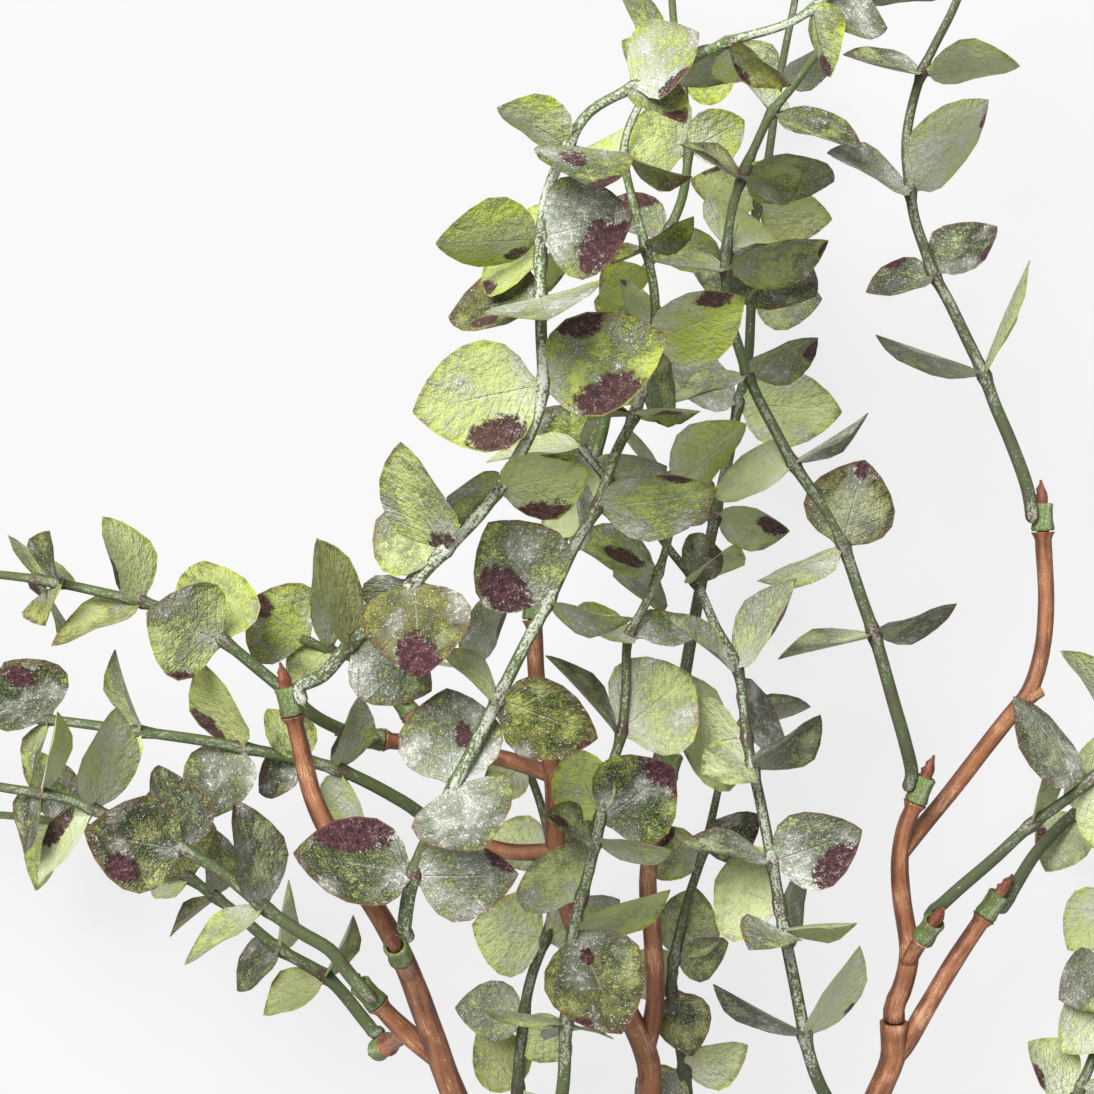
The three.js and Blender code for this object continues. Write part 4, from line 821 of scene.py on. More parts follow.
class LeafPlacer:
    """Places the leaves of all shoots, each bent clear of what stands before it."""

    PAIR_TURN = 90
    PAIR_TURN_SPREAD = 30
    PAIR_TILT = 52
    PAIR_TILT_SPREAD = 16
    PAIR_TILT_SEED = 0.37
    FILL_SIZE = 0.92
    FILL_SHRINK = 0.08
    FILL_SEEDS = 7

    def __init__(self, curves: Sequence[SmoothCurve]) -> None:
        """Samples every stem and arm as an obstacle.

        Args:
            curves: The stem curve of each shoot, in order.
        """
        self.samples = [curve.bar_samples(STEM_STEP_LENGTH) for curve in curves]
        shares = np.arange(CURVE_SAMPLES + 1) / CURVE_SAMPLES
        self.tangents = [curve.tangent(shares) for curve in curves]
        points = list(self.samples)
        owners = [np.full(len(p), k) for k, p in enumerate(points)]
        limits = [np.full(len(p), STEM_RADIUS + STEM_CLEARANCE) for p in points]
        for arm in (arm for twig in TWIGS for arm in twig.arms):
            along_arm = SmoothCurve(placed(spot) for spot in arm.route).bar_samples(TWIG_STEP_LENGTH)
            points.append(along_arm)
            owners.append(np.full(len(along_arm), -1))
            limits.append(np.full(len(along_arm), sum(arm.radii) / 2 + STEM_CLEARANCE))
        self.stem_points = np.vstack(points)
        self.stem_owner = np.concatenate(owners)
        self.stem_limit = np.concatenate(limits)
        rows = np.arange(1, SAMPLE_ROWS + 1) / SAMPLE_ROWS
        columns = -1 + 2 * np.arange(SAMPLE_COLUMNS) / (SAMPLE_COLUMNS - 1)
        self.grid = [axis.ravel() for axis in np.meshgrid(rows, columns, indexing="ij")]
        self.placed: list[tuple[Leaf, np.ndarray, np.ndarray]] = []

    def node_at(self, owner: int, at: Sequence[float]) -> int:
        """Index of the stem sample nearest to a place in the picture.

        Args:
            owner: Number of the shoot.
            at: Column and row.

        Returns:
            The sample's index.
        """
        points = self.samples[owner]
        scale = (LENS_HEIGHT - points[:, 2]) / FOCAL_PIXELS
        x = (at[0] - PICTURE_CENTRE) * scale
        y = (PICTURE_CENTRE - at[1]) * scale
        seen = np.stack([x, y, points[:, 2]], axis=1)
        return int(np.argmin(((seen - points) ** 2).sum(axis=1)))

    def from_picture(
        self, seat: tuple[int, int], entry: Sequence[float], shade: Optional[Shade]
    ) -> Leaf:
        """Leaf whose tip is seen at a place in the picture, rolled about its midrib.

        Args:
            seat: Shoot number and sample index.
            entry: Tip column, tip row, rise of the tip, roll in degrees and maybe width.
            shade: The leaf's shade, if it is listed.

        Returns:
            The leaf.
        """
        root = self.samples[seat[0]][seat[1]]
        column, row, rise, roll = entry[:4]
        reach = placed((column, row, root[2] + rise)) - root
        length = float(np.linalg.norm(reach))
        along = reach / length
        face = turned(unit(UP - along * np.dot(UP, along)), along, roll)
        width = entry[4] if len(entry) > 4 else LEAF_WIDTH_RATIO * length
        return Leaf(root, along, face, np.cross(face, along), length, width, seat, shade)

    def by_rule(self, seat: tuple[int, int], index: int, seed: int) -> list[Leaf]:
        """Opposite pair a quarter turn on from the pair before, smaller towards the tip.

        Args:
            seat: Shoot number and sample index.
            index: Number of the pair in the fill.
            seed: Seed of its draws.

        Returns:
            The two leaves.
        """
        root = self.samples[seat[0]][seat[1]]
        tangent = self.tangents[seat[0]][seat[1]]
        side = unit(np.cross(tangent, UP))
        lift = np.cross(side, tangent)
        turn = math.radians(self.PAIR_TURN * index + self.PAIR_TURN_SPREAD * draw(seed))
        tilt_draw = draw(seed + self.PAIR_TILT_SEED)
        tilt = math.radians(self.PAIR_TILT + self.PAIR_TILT_SPREAD * tilt_draw)
        length = LEAF_LENGTH * (self.FILL_SIZE - self.FILL_SHRINK * index)
        leaves = []
        for sign in (1, -1):
            out = (side * math.cos(turn) + lift * math.sin(turn)) * sign
            along = unit(out * math.sin(tilt) + tangent * math.cos(tilt))
            face = unit(tangent - along * np.dot(tangent, along))
            across = np.cross(face, along)
            leaves.append(Leaf(root, along, face, across, length, LEAF_WIDTH_RATIO * length, seat))
        return leaves

    def is_clear(self, leaf: Leaf, points: np.ndarray, centre: np.ndarray) -> bool:
        """Whether a leaf keeps its distance from other stems, arms and placed leaves.

        Args:
            leaf: The leaf.
            points: Its sampled points.
            centre: Its middle.

        Returns:
            True where nothing is too near.
        """
        reach = leaf.length * LEAF_REACH
        away = np.linalg.norm(self.stem_points - centre, axis=1)
        near = (self.stem_owner != leaf.seat[0]) & (away <= reach + self.stem_limit)
        if near.any():
            gaps = ((self.stem_points[near][:, None] - points[None]) ** 2).sum(axis=2)
            if (gaps < self.stem_limit[near][:, None] ** 2).any():
                return False
        for other, other_points, other_centre in self.placed:
            limit = OWN_CLEARANCE if other.seat[0] == leaf.seat[0] else LEAF_CLEARANCE
            far = np.linalg.norm(other_centre - centre) > reach + other.length * LEAF_REACH + limit
            if other.seat == leaf.seat or far:
                continue
            gaps = ((other_points[:, None] - points[None]) ** 2).sum(axis=2)
            if (gaps < limit**2).any():
                return False
        return True

    def place(self, draft: Leaf) -> None:
        """Keeps a leaf at its first clear swing, or leaves it out where none is clear."""
        tangent = self.tangents[draft.seat[0]][draft.seat[1]]
        for spin in SPINS:
            for swing in SWINGS:
                leaf = draft.swung(tangent, swing, spin)
                points = leaf.point(*self.grid)
                centre = leaf.point(np.array([0.5]), np.array([0.0]))[0]
                if self.is_clear(leaf, points, centre):
                    self.placed.append((leaf, points, centre))
                    return

    def place_all(self) -> list[list[Leaf]]:
        """Places every leaf, front shoots first.

        Returns:
            The leaves of each shoot.
        """
        for owner, plan in enumerate(SHOOTS):
            letters = iter(SHADES.get(plan.name, "").replace(" ", ""))
            for pair in plan.pairs:
                seat = (owner, self.node_at(owner, pair.at))
                for entry in pair.leaves:
                    shade = SHADE_LETTERS.get(next(letters, "."))
                    self.place(self.from_picture(seat, entry, shade))
            fill = plan.fill
            for i in range(fill.count if fill else 0):
                share = 1 if fill.count == 1 else i / (fill.count - 1)
                at = math.floor((fill.start + (fill.end - fill.start) * share) * CURVE_SAMPLES + 0.5)
                seat = (owner, min(at, CURVE_SAMPLES - 1))
                for leaf in self.by_rule(seat, i, owner * self.FILL_SEEDS + i):
                    self.place(leaf)
        leaves: list[list[Leaf]] = [[] for _ in SHOOTS]
        for leaf, _, _ in self.placed:
            leaves[leaf.seat[0]].append(leaf)
        return leaves


class MeshDraft:
    """Closed surfaces gathered for one piece, with the values their finishes read."""

    NUMBERS = ("across", "along", "edge", "under", "fresh", "luck", "node")
    VECTORS = ("grain", "stain", "spot")

    def __init__(self, name: str) -> None:
        """Starts an empty draft.

        Args:
            name: Name of the piece.
        """
        self.name = name
        self.points: list[np.ndarray] = []
        self.rims: list[np.ndarray] = []
        self.faces: list[list[int]] = []
        self.finishes: list[np.ndarray] = []
        self.values: dict[str, list[np.ndarray]] = {key: [] for key in self.NUMBERS + self.VECTORS}
        self.count = 0

    def add_lofts(
        self,
        rings: np.ndarray,
        values: dict[str, np.ndarray],
        finish: int,
        rim: Sequence[int] = (),
        looped: bool = False,
    ) -> None:
        """Adds surfaces that join rings of points into skins, capped or looped.

        A face spans neighbouring points of neighbouring rings, so its corners are
        (r, a), (r, a + 1), (r + 1, a + 1) and (r + 1, a). The rings turn right-handed
        round the way that they follow, which makes the faces point outwards.

        Args:
            rings: Array (surfaces, rings, points, 3) in mm, in the picture's frame.
            values: Arrays that spread to (surfaces, rings, points), by attribute name.
            finish: Number of the material slot.
            rim: Point numbers whose lengthwise edges are sharp.
            looped: Whether the last ring joins the first, with no caps.
        """
        surfaces, ring_count, around = rings.shape[:3]
        grid = np.arange(surfaces * ring_count * around).reshape(rings.shape[:3]) + self.count
        follow = np.roll(grid, -1, axis=1) if looped else grid[:, 1:]
        here = grid if looped else grid[:, :-1]
        corners = [here, np.roll(here, -1, axis=2), np.roll(follow, -1, axis=2), follow]
        quads = np.stack(corners, axis=-1).reshape(-1, 4)
        self.faces += quads.tolist()
        face_count = len(quads)
        if not looped:
            caps = np.concatenate([grid[:, 0, ::-1], grid[:, -1]])
            self.faces += caps.tolist()
            face_count += len(caps)
        self.finishes.append(np.full(face_count, finish))
        self.points.append(rings.reshape(-1, 3))
        lines = np.zeros(around)
        lines[list(rim)] = np.arange(1, len(rim) + 1)
        self.rims.append(np.broadcast_to(lines, rings.shape[:3]).ravel())
        for key in self.NUMBERS:
            spread = np.broadcast_to(values.get(key, 0.0), rings.shape[:3])
            self.values[key].append(spread.ravel())
        for key in self.VECTORS:
            spread = np.broadcast_to(values.get(key, 0.0), rings.shape)
            self.values[key].append(spread.reshape(-1, 3))
        self.count += surfaces * ring_count * around

    def build(self, materials: Sequence[bpy.types.Material]) -> bpy.types.Object:
        """Makes the mesh object in metres, at the origin, inside the solids' box.

        Args:
            materials: One material per finish number.

        Returns:
            The object, linked to the scene.
        """
        points = (np.vstack(self.points) - ORIGIN) * MM
        points = np.clip(points, *np.array(SOLIDS_BOX))
        mesh = bpy.data.meshes.new(self.name)
        mesh.from_pydata(points.tolist(), [], self.faces)
        mesh.polygons.foreach_set("material_index", np.concatenate(self.finishes).astype(np.int32))
        mesh.polygons.foreach_set("use_smooth", np.ones(len(mesh.polygons), bool))
        for key in self.NUMBERS:
            attribute = mesh.attributes.new(key, "FLOAT", "POINT")
            attribute.data.foreach_set("value", np.concatenate(self.values[key]).astype(np.float32))
        for key in self.VECTORS:
            attribute = mesh.attributes.new(key, "FLOAT_VECTOR", "POINT")
            attribute.data.foreach_set("vector", np.vstack(self.values[key]).astype(np.float32).ravel())
        ends = np.empty(len(mesh.edges) * 2, np.int32)
        mesh.edges.foreach_get("vertices", ends)
        lines = np.concatenate(self.rims)[ends.reshape(-1, 2)]
        sharp = (lines[:, 0] > 0) & (lines[:, 0] == lines[:, 1])
        mesh.attributes.new("sharp_edge", "BOOLEAN", "EDGE").data.foreach_set("value", sharp)
        mesh.update()
        for material in materials:
            mesh.materials.append(material)
        piece = bpy.data.objects.new(self.name, mesh)
        bpy.context.scene.collection.objects.link(piece)
        return piece


def bar_rings(
    centres: np.ndarray, tangents: np.ndarray, radii: np.ndarray
) -> tuple[np.ndarray, np.ndarray]:
    """Rings round a path: centre + r (cos a side + sin a lift), with lift kept upward.

    Args:
        centres: Array (rings, 3).
        tangents: Unit directions (rings, 3).
        radii: Array (rings, points) of radii.

    Returns:
        The rings (rings, points, 3) and the angles (points,).
    """
    side = unit(np.cross(tangents, UP) + TINY)
    lift = np.cross(tangents, side)
    angles = np.linspace(0, 2 * math.pi, radii.shape[1], endpoint=False)
    cosine = (radii * np.cos(angles))[..., None]
    sine = (radii * np.sin(angles))[..., None]
    rings = centres[:, None] + cosine * side[:, None] + sine * lift[:, None]
    return rings, angles


def filled_in(grid: np.ndarray, axis: int, count: int) -> np.ndarray:
    """A grid read at more places along one axis, straight between its neighbours.

    Args:
        grid: The grid.
        axis: The axis.
        count: Number of places, evenly spaced from the first to the last.

    Returns:
        The filled grid.
    """
    places = np.linspace(0, grid.shape[axis] - 1, count)
    before = np.minimum(places.astype(int), grid.shape[axis] - 2)
    share = (places - before).reshape([-1 if k == axis else 1 for k in range(grid.ndim)])
    return grid.take(before, axis) * (1 - share) + grid.take(before + 1, axis) * share


def grain_field(travel: np.ndarray, angles: np.ndarray, radius: float) -> np.ndarray:
    """Place on an unrolled bar: cosine and sine of the angle, and the travel, in mm.

    Args:
        travel: Distance of each ring along the bar in mm.
        angles: Angle of each point round the bar.
        radius: Radius that the angle's part is scaled to.

    Returns:
        Array (rings, points, 3).
    """
    field_values = np.zeros((len(travel), len(angles), 3))
    field_values[..., 0] = radius * np.cos(angles)
    field_values[..., 1] = radius * np.sin(angles)
    field_values[..., 2] = travel[:, None]
    return field_values


@dataclass
class Foliage:
    """One leafy shoot: ridged stem, collar and leaves."""

    plan: ShootPlan
    curve: SmoothCurve
    leaves: list[Leaf]
    number: int
    stations: tuple[float, ...] = (0, 0.06, 0.11, 0.21, 0.36, 0.53, 0.7, 0.85, 0.95, 1.0)
    top_places: tuple[float, ...] = (1, 0.5, 0, -0.5, -1)
    neck_share: float = 0.045
    base_power: float = 0.52
    tip_power: float = 0.82
    root_half: float = 1.0
    tip_half: float = 0.15
    thickness: float = 0.7
    stem_sides: int = 12
    stem_step: float = 2.2
    ridge: float = 0.1
    swelling: float = 0.55
    far_away: float = 9.0
    foot_rings: tuple[float, ...] = (0.15, 0.5, 1.1, 1.8)
    foot_reach: float = 1.8
    foot_flat: float = 0.35
    seed_steps: tuple[float, float, float] = (31.7, 1.37, 0.61)
    arch_span: float = 1.2
    curl_middle: float = 0.6
    curl_span: float = 1.6
    wave_height: float = 0.55
    wave_count: float = 1.4
    wave_lag: float = 0.37
    crease: float = 0.3
    trough: float = 0.7
    edge_thinning: float = 0.9
    tip_thinning: float = 0.5
    root_swelling: float = 0.6
    root_share: float = 0.05
    rib_depth: float = 0.35
    fresh_span: float = 0.35
    dense_counts: tuple[int, int] = (44, 17)
    blotch_long: float = 1.25
    blotch_short: float = 0.82
    blotch_lean: float = 2.0
    shown_gap: float = 6.0
    near_gap: float = 26.0
    own_chance: float = 0.2
    own_reach: tuple[float, float] = (0.45, 0.5)
    own_aside: float = 0.8
    own_radius: tuple[float, float] = (2.4, 2.6)
    stem_slim: float = 0.92
    swelling_reach: float = 1.8
    node_reach: float = 3.2
    foot_node_reach: float = 5.0
    collar_sides: int = 16
    collar_fresh: float = 1.1
    collar_node: float = 0.25
    collar_powder: float = 0.1
    collar_profile: tuple[tuple[float, float], ...] = (
        (0.0, 2.1), (0.0, 2.75), (0.5, 3.05), (2.6, 2.7),
        (5.4, 2.75), (6.5, 2.95), (7.0, 2.6), (7.0, 2.1),
    )
    tones: tuple[Tone, Tone] = field(init=False)

    def __post_init__(self) -> None:
        """Looks up the shoot's tones."""
        self.tones = TONES[self.plan.name]

    def tone_at(self, share: np.ndarray) -> np.ndarray:
        """Freshness at a share of the stem, straight from the foot's to the tip's."""
        return self.tones[0].value + (self.tones[1].value - self.tones[0].value) * share

    def leaf_half(self, x: np.ndarray, width: np.ndarray) -> np.ndarray:
        """Half-width of the leaves along their length.

        It is a power of the distance from the neck times a power of the distance from
        the tip, with a narrow floor at both ends.

        Args:
            x: Stations (rings,) from root to tip.
            width: Widths (leaves,) in mm.

        Returns:
            Array (leaves, rings) in mm.
        """
        total = self.base_power + self.tip_power
        widest = self.base_power / total
        peak = widest**self.base_power * (1 - widest) ** self.tip_power
        y = np.clip((x - self.neck_share) / (1 - self.neck_share), 0, 1)
        share = y**self.base_power * (1 - y) ** self.tip_power / peak
        floor = self.root_half + (self.tip_half - self.root_half) * x
        return np.maximum(width[:, None] / 2 * share, floor)

    def add_leaves(self, draft: MeshDraft) -> None:
        """Adds the leaves: each is a closed skin of flat rings from root to tip.

        A ring runs over the upper side from one edge to the other, then under the rib.
        Its points stand off the midrib line by the half-width times s, and rise by a
        crease |s| and a trough s squared, both times a half sine along the leaf, with a
        small arch, tip curl and edge wave from each leaf's own draws.

        Args:
            draft: The mesh draft.
        """
        leaves = self.leaves
        count = len(leaves)
        pick = lambda name: np.array([getattr(leaf, name) for leaf in leaves])
        shoot_step, leaf_step, draw_step = self.seed_steps
        draws = np.array([
            [draw(self.number * shoot_step + k * leaf_step + j * draw_step) for j in Draw]
            for k in range(count)
        ])
        x = np.array(self.stations)
        s = np.array(self.top_places + (0,))
        under = np.array([0.0] * len(self.top_places) + [1.0])
        half = self.leaf_half(x, pick("width"))
        dome = np.sin(math.pi * x)
        arch = ((draws[:, Draw.ARCH] - 0.5) * self.arch_span)[:, None] * dome
        curl = ((draws[:, Draw.CURL] - self.curl_middle) * self.curl_span)[:, None] * x**4
        phase = draws[:, Draw.WAVE][:, None, None] + self.wave_lag * np.sign(s)
        turns = self.wave_count * x[None, :, None] + phase
        wave = self.wave_height * np.sin(2 * math.pi * turns) * np.abs(s) ** 3
        trough = LEAF_DISH * (self.crease * np.abs(s) + self.trough * s * s)
        rise = (arch + curl)[..., None] + dome[:, None] * (trough + wave)
        body = self.thickness * (1 - self.edge_thinning * s * s)
        body = body * (1 - self.tip_thinning * x[:, None] ** 3)
        body = body + self.root_swelling * np.exp(-x / self.root_share)[:, None]
        rib = self.rib_depth * (1 - x)[:, None] * (s == 0)
        rise = rise + np.where(under > 0, -body / 2 - rib, body / 2)
        reach = pick("length")[:, None] * x
        rings = (
            pick("root")[:, None, None]
            + reach[..., None, None] * pick("along")[:, None, None]
            + (half[..., None] * s)[..., None] * pick("across")[:, None, None]
            + rise[..., None] * pick("face")[:, None, None]
        )
        to_tip = pick("length")[:, None] * (1 - x)
        edge = np.minimum(half[..., None] * (1 - np.abs(s)), to_tip[..., None])
        places = np.array([leaf.seat[1] for leaf in leaves]) / CURVE_SAMPLES
        fresh = self.tone_at(places) + (draws[:, Draw.FRESH] - 0.5) * self.fresh_span
        aside = half[..., None] * s
        dense = self.dense_tops(rings, reach, aside)
        draft.add_lofts(
            rings,
            {
                "across": s,
                "along": x[:, None],
                "edge": edge,
                "under": under,
                "fresh": fresh[:, None, None],
                # Each leaf's darkness: its listed shade, which is partly painted shade, or else a draw
                "luck": self.shades(draws[:, Draw.LUCK])[:, None, None],
                "node": draws[:, Draw.DUST][:, None, None],
                **self.stain_fields(dense, reach, aside, draws),
            },
            finish=0,
            rim=(0, len(self.top_places) - 1),
        )

    def dense_tops(self, rings: np.ndarray, reach: np.ndarray, aside: np.ndarray) -> np.ndarray:
        """Upper sides read at many places, straight between the points.

        Args:
            rings: The leaves' points.
            reach: Distances (leaves, rings) from the root.
            aside: Distances (leaves, rings, points) from the midrib.

        Returns:
            Array (leaves, places, 5): a point in mm, then its reach and aside in mm.
        """
        spread = np.broadcast_to(reach[..., None], aside.shape)
        values = np.concatenate([rings, spread[..., None], aside[..., None]], axis=-1)
        values = values[:, :, :len(self.top_places)]
        along_count, across_count = self.dense_counts
        dense = filled_in(filled_in(values, 1, along_count), 2, across_count)
        return dense.reshape(len(rings), -1, values.shape[-1])

    def shown_at(
        self, dense: np.ndarray, spot: Sequence[float], free: np.ndarray
    ) -> Optional[tuple[int, np.ndarray]]:
        """The leaf that the picture shows at a column and row, if the shoot has one there.

        It is the highest of the leaves that cover the place, or else the nearest.

        Args:
            dense: The leaves' upper sides, from dense_tops.
            spot: Column and row.
            free: Whether each leaf may be chosen.

        Returns:
            The leaf's number and its values at that place, or nothing.
        """
        gaps = np.linalg.norm(seen_at(dense[..., :3]) - np.array(spot), axis=-1)
        spots = dense[np.arange(len(dense)), gaps.argmin(axis=1)]
        gap = np.where(free, gaps.min(axis=1), np.inf)
        if gap.min() > self.near_gap:
            return None
        shown = gap < self.shown_gap
        leaf = int(np.argmax(np.where(shown, spots[:, 2], -np.inf)) if shown.any() else gap.argmin())
        return leaf, spots[leaf]

    def shades(self, chance: np.ndarray) -> np.ndarray:
        """Shade of each leaf: the listed one, or else chance's."""
        return np.array([
            leaf.shade.value if leaf.shade else share for leaf, share in zip(self.leaves, chance)
        ])

    def stain_fields(
        self, dense: np.ndarray, reach: np.ndarray, aside: np.ndarray, draws: np.ndarray
    ) -> dict[str, np.ndarray]:
        """Offsets from the blotches, in radii: a length under 1 is inside.

        A listed blotch goes to the highest leaf of the shoot that shows where it is
        listed. Other leaves may have one of their own near the tip or an edge. A blotch
        is an oval in the leaf's own measures, drawn out along the nearer edge. Each leaf
        has room for two, and the rest stay far away.

        Args:
            dense: The leaves' upper sides, from dense_tops.
            reach: Distances (leaves, rings) from the root.
            aside: Distances (leaves, rings, points) from the midrib.
            draws: Draws (leaves, draws).

        Returns:
            Vector fields (leaves, rings, points, 3) by attribute name.
        """
        fields = np.full((2, *aside.shape, 3), self.far_away)
        used = np.zeros(len(dense), int)
        half = np.abs(aside).max(axis=2)
        measures = np.stack([np.broadcast_to(reach[..., None], aside.shape), aside], axis=-1)

        def lay(leaf: int, middle: np.ndarray, radius: float) -> None:
            """Lays an oval round a place on a leaf, given by its distances in mm."""
            slope = np.interp(middle[0], reach[leaf], np.gradient(half[leaf], reach[leaf]))
            slope = np.clip(slope, -self.blotch_lean, self.blotch_lean)
            lean = np.array([1.0, slope * np.sign(middle[1])])
            lean /= np.linalg.norm(lean)
            offset = measures[leaf] - middle
            fields[used[leaf], leaf, ..., 0] = offset @ lean / (radius * self.blotch_long)
            fields[used[leaf], leaf, ..., 1] = (
                offset @ np.array([-lean[1], lean[0]]) / (radius * self.blotch_short))
            fields[used[leaf], leaf, ..., 2] = 0
            used[leaf] += 1

        for column, row, radius in BLOTCHES.get(self.plan.name, ()):
            found = self.shown_at(dense, (column, row), used < 2)
            if found is not None:
                leaf, spot = found
                lay(leaf, spot[3:], radius * (LENS_HEIGHT - spot[2]) / FOCAL_PIXELS)
        for leaf in np.flatnonzero((used == 0) & (draws[:, Draw.BLOTCHED] < self.own_chance)):
            share = self.own_reach[0] + self.own_reach[1] * draws[leaf, Draw.BLOTCH_REACH]
            aside_of = self.own_aside * half[leaf].max()
            side = math.copysign(aside_of, draws[leaf, Draw.BLOTCH_SIDE] - 0.5)
            radius = self.own_radius[0] + self.own_radius[1] * draws[leaf, Draw.LUCK]
            lay(leaf, np.array([reach[leaf, -1] * share, side]), radius)
        return {"stain": fields[0], "spot": fields[1]}

    def add_stem(self, draft: MeshDraft) -> None:
        """Adds the stem: a tapered bar with two ridges, swollen where leaves sit.

        The radius is the taper times 1 + ridge x cos 2a, plus a bell at every node, and
        it rises from a small flat at the foot as a quarter circle does.

        Args:
            draft: The mesh draft.
        """
        steps = step_count(self.curve.length, self.stem_step)
        share = np.linspace(0, 1, steps + 1)
        share = np.concatenate([[0.0], np.array(self.foot_rings) / self.curve.length, share[1:]])
        travel = share * self.curve.length
        taper = STEM_RADIUS + (STEM_TIP_RADIUS - STEM_RADIUS) * share
        nodes = np.array(sorted({leaf.seat[1] for leaf in self.leaves})) / CURVE_SAMPLES
        nearest = np.abs(travel[:, None] - nodes * self.curve.length).min(axis=1)
        bell = np.exp(-((nearest / self.swelling_reach) ** 2))
        angles = np.linspace(0, 2 * math.pi, self.stem_sides, endpoint=False)
        radii = self.stem_slim * taper[:, None] * (1 + self.ridge * np.cos(2 * angles))
        radii = radii + self.swelling * bell[:, None]
        start = 1 - np.clip(travel / self.foot_reach, 0, 1)
        radii = radii * np.maximum(np.sqrt(1 - start**2), self.foot_flat)[:, None]
        rings, angles = bar_rings(self.curve.spaced(share), self.curve.tangent(share), radii)
        at_node = np.exp(-((nearest / self.node_reach) ** 2))
        at_foot = np.exp(-((travel / self.foot_node_reach) ** 2))
        draft.add_lofts(
            rings[None],
            {
                "grain": grain_field(travel, angles, STEM_RADIUS)[None],
                "fresh": self.tone_at(share)[:, None],
                "node": np.maximum(at_node, at_foot)[:, None],
                "along": share[:, None],
                # Cosine round the stem, which the stem finish uses for painted shade at the sides
                "across": np.cos(angles),
                "luck": STEM_POWDER.get(self.plan.name, THIN_POWDER),
            },
            finish=1,
        )

    def add_collar(self, draft: MeshDraft) -> None:
        """Adds the collar: a tube with rounded lips, its profile spun round the peg."""
        seat = SEATS[self.plan.name]
        profile = np.array(self.collar_profile)
        centres = seat.end + seat.axis * (GAP + profile[:, :1])
        tangents = np.broadcast_to(seat.axis, centres.shape)
        radii = np.repeat(profile[:, 1:], self.collar_sides, axis=1)
        rings, angles = bar_rings(centres, tangents, radii)
        values = {
            "grain": grain_field(profile[:, 0], angles, COLLAR_RADIUS)[None],
            "fresh": self.collar_fresh,
            "node": self.collar_node,
            # Cosine round the collar, which the stem finish uses for painted shade at the sides
            "across": np.cos(angles),
            "luck": self.collar_powder,
        }
        draft.add_lofts(rings[None], values, finish=1, looped=True)

    def dress(self, materials: Sequence[bpy.types.Material]) -> bpy.types.Object:
        """Builds the shoot's piece in place of its solid.

        Args:
            materials: Leaf material and stem material.

        Returns:
            The piece.
        """
        draft = MeshDraft(self.plan.name.replace("shoot", "foliage"))
        self.add_leaves(draft)
        self.add_stem(draft)
        self.add_collar(draft)
        piece = draft.build(materials)
        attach(piece, "root")
        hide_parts(self.plan.name)
        LOG.info("%s: %d leaves, %d faces", piece.name, len(self.leaves), len(piece.data.polygons))
        return piece


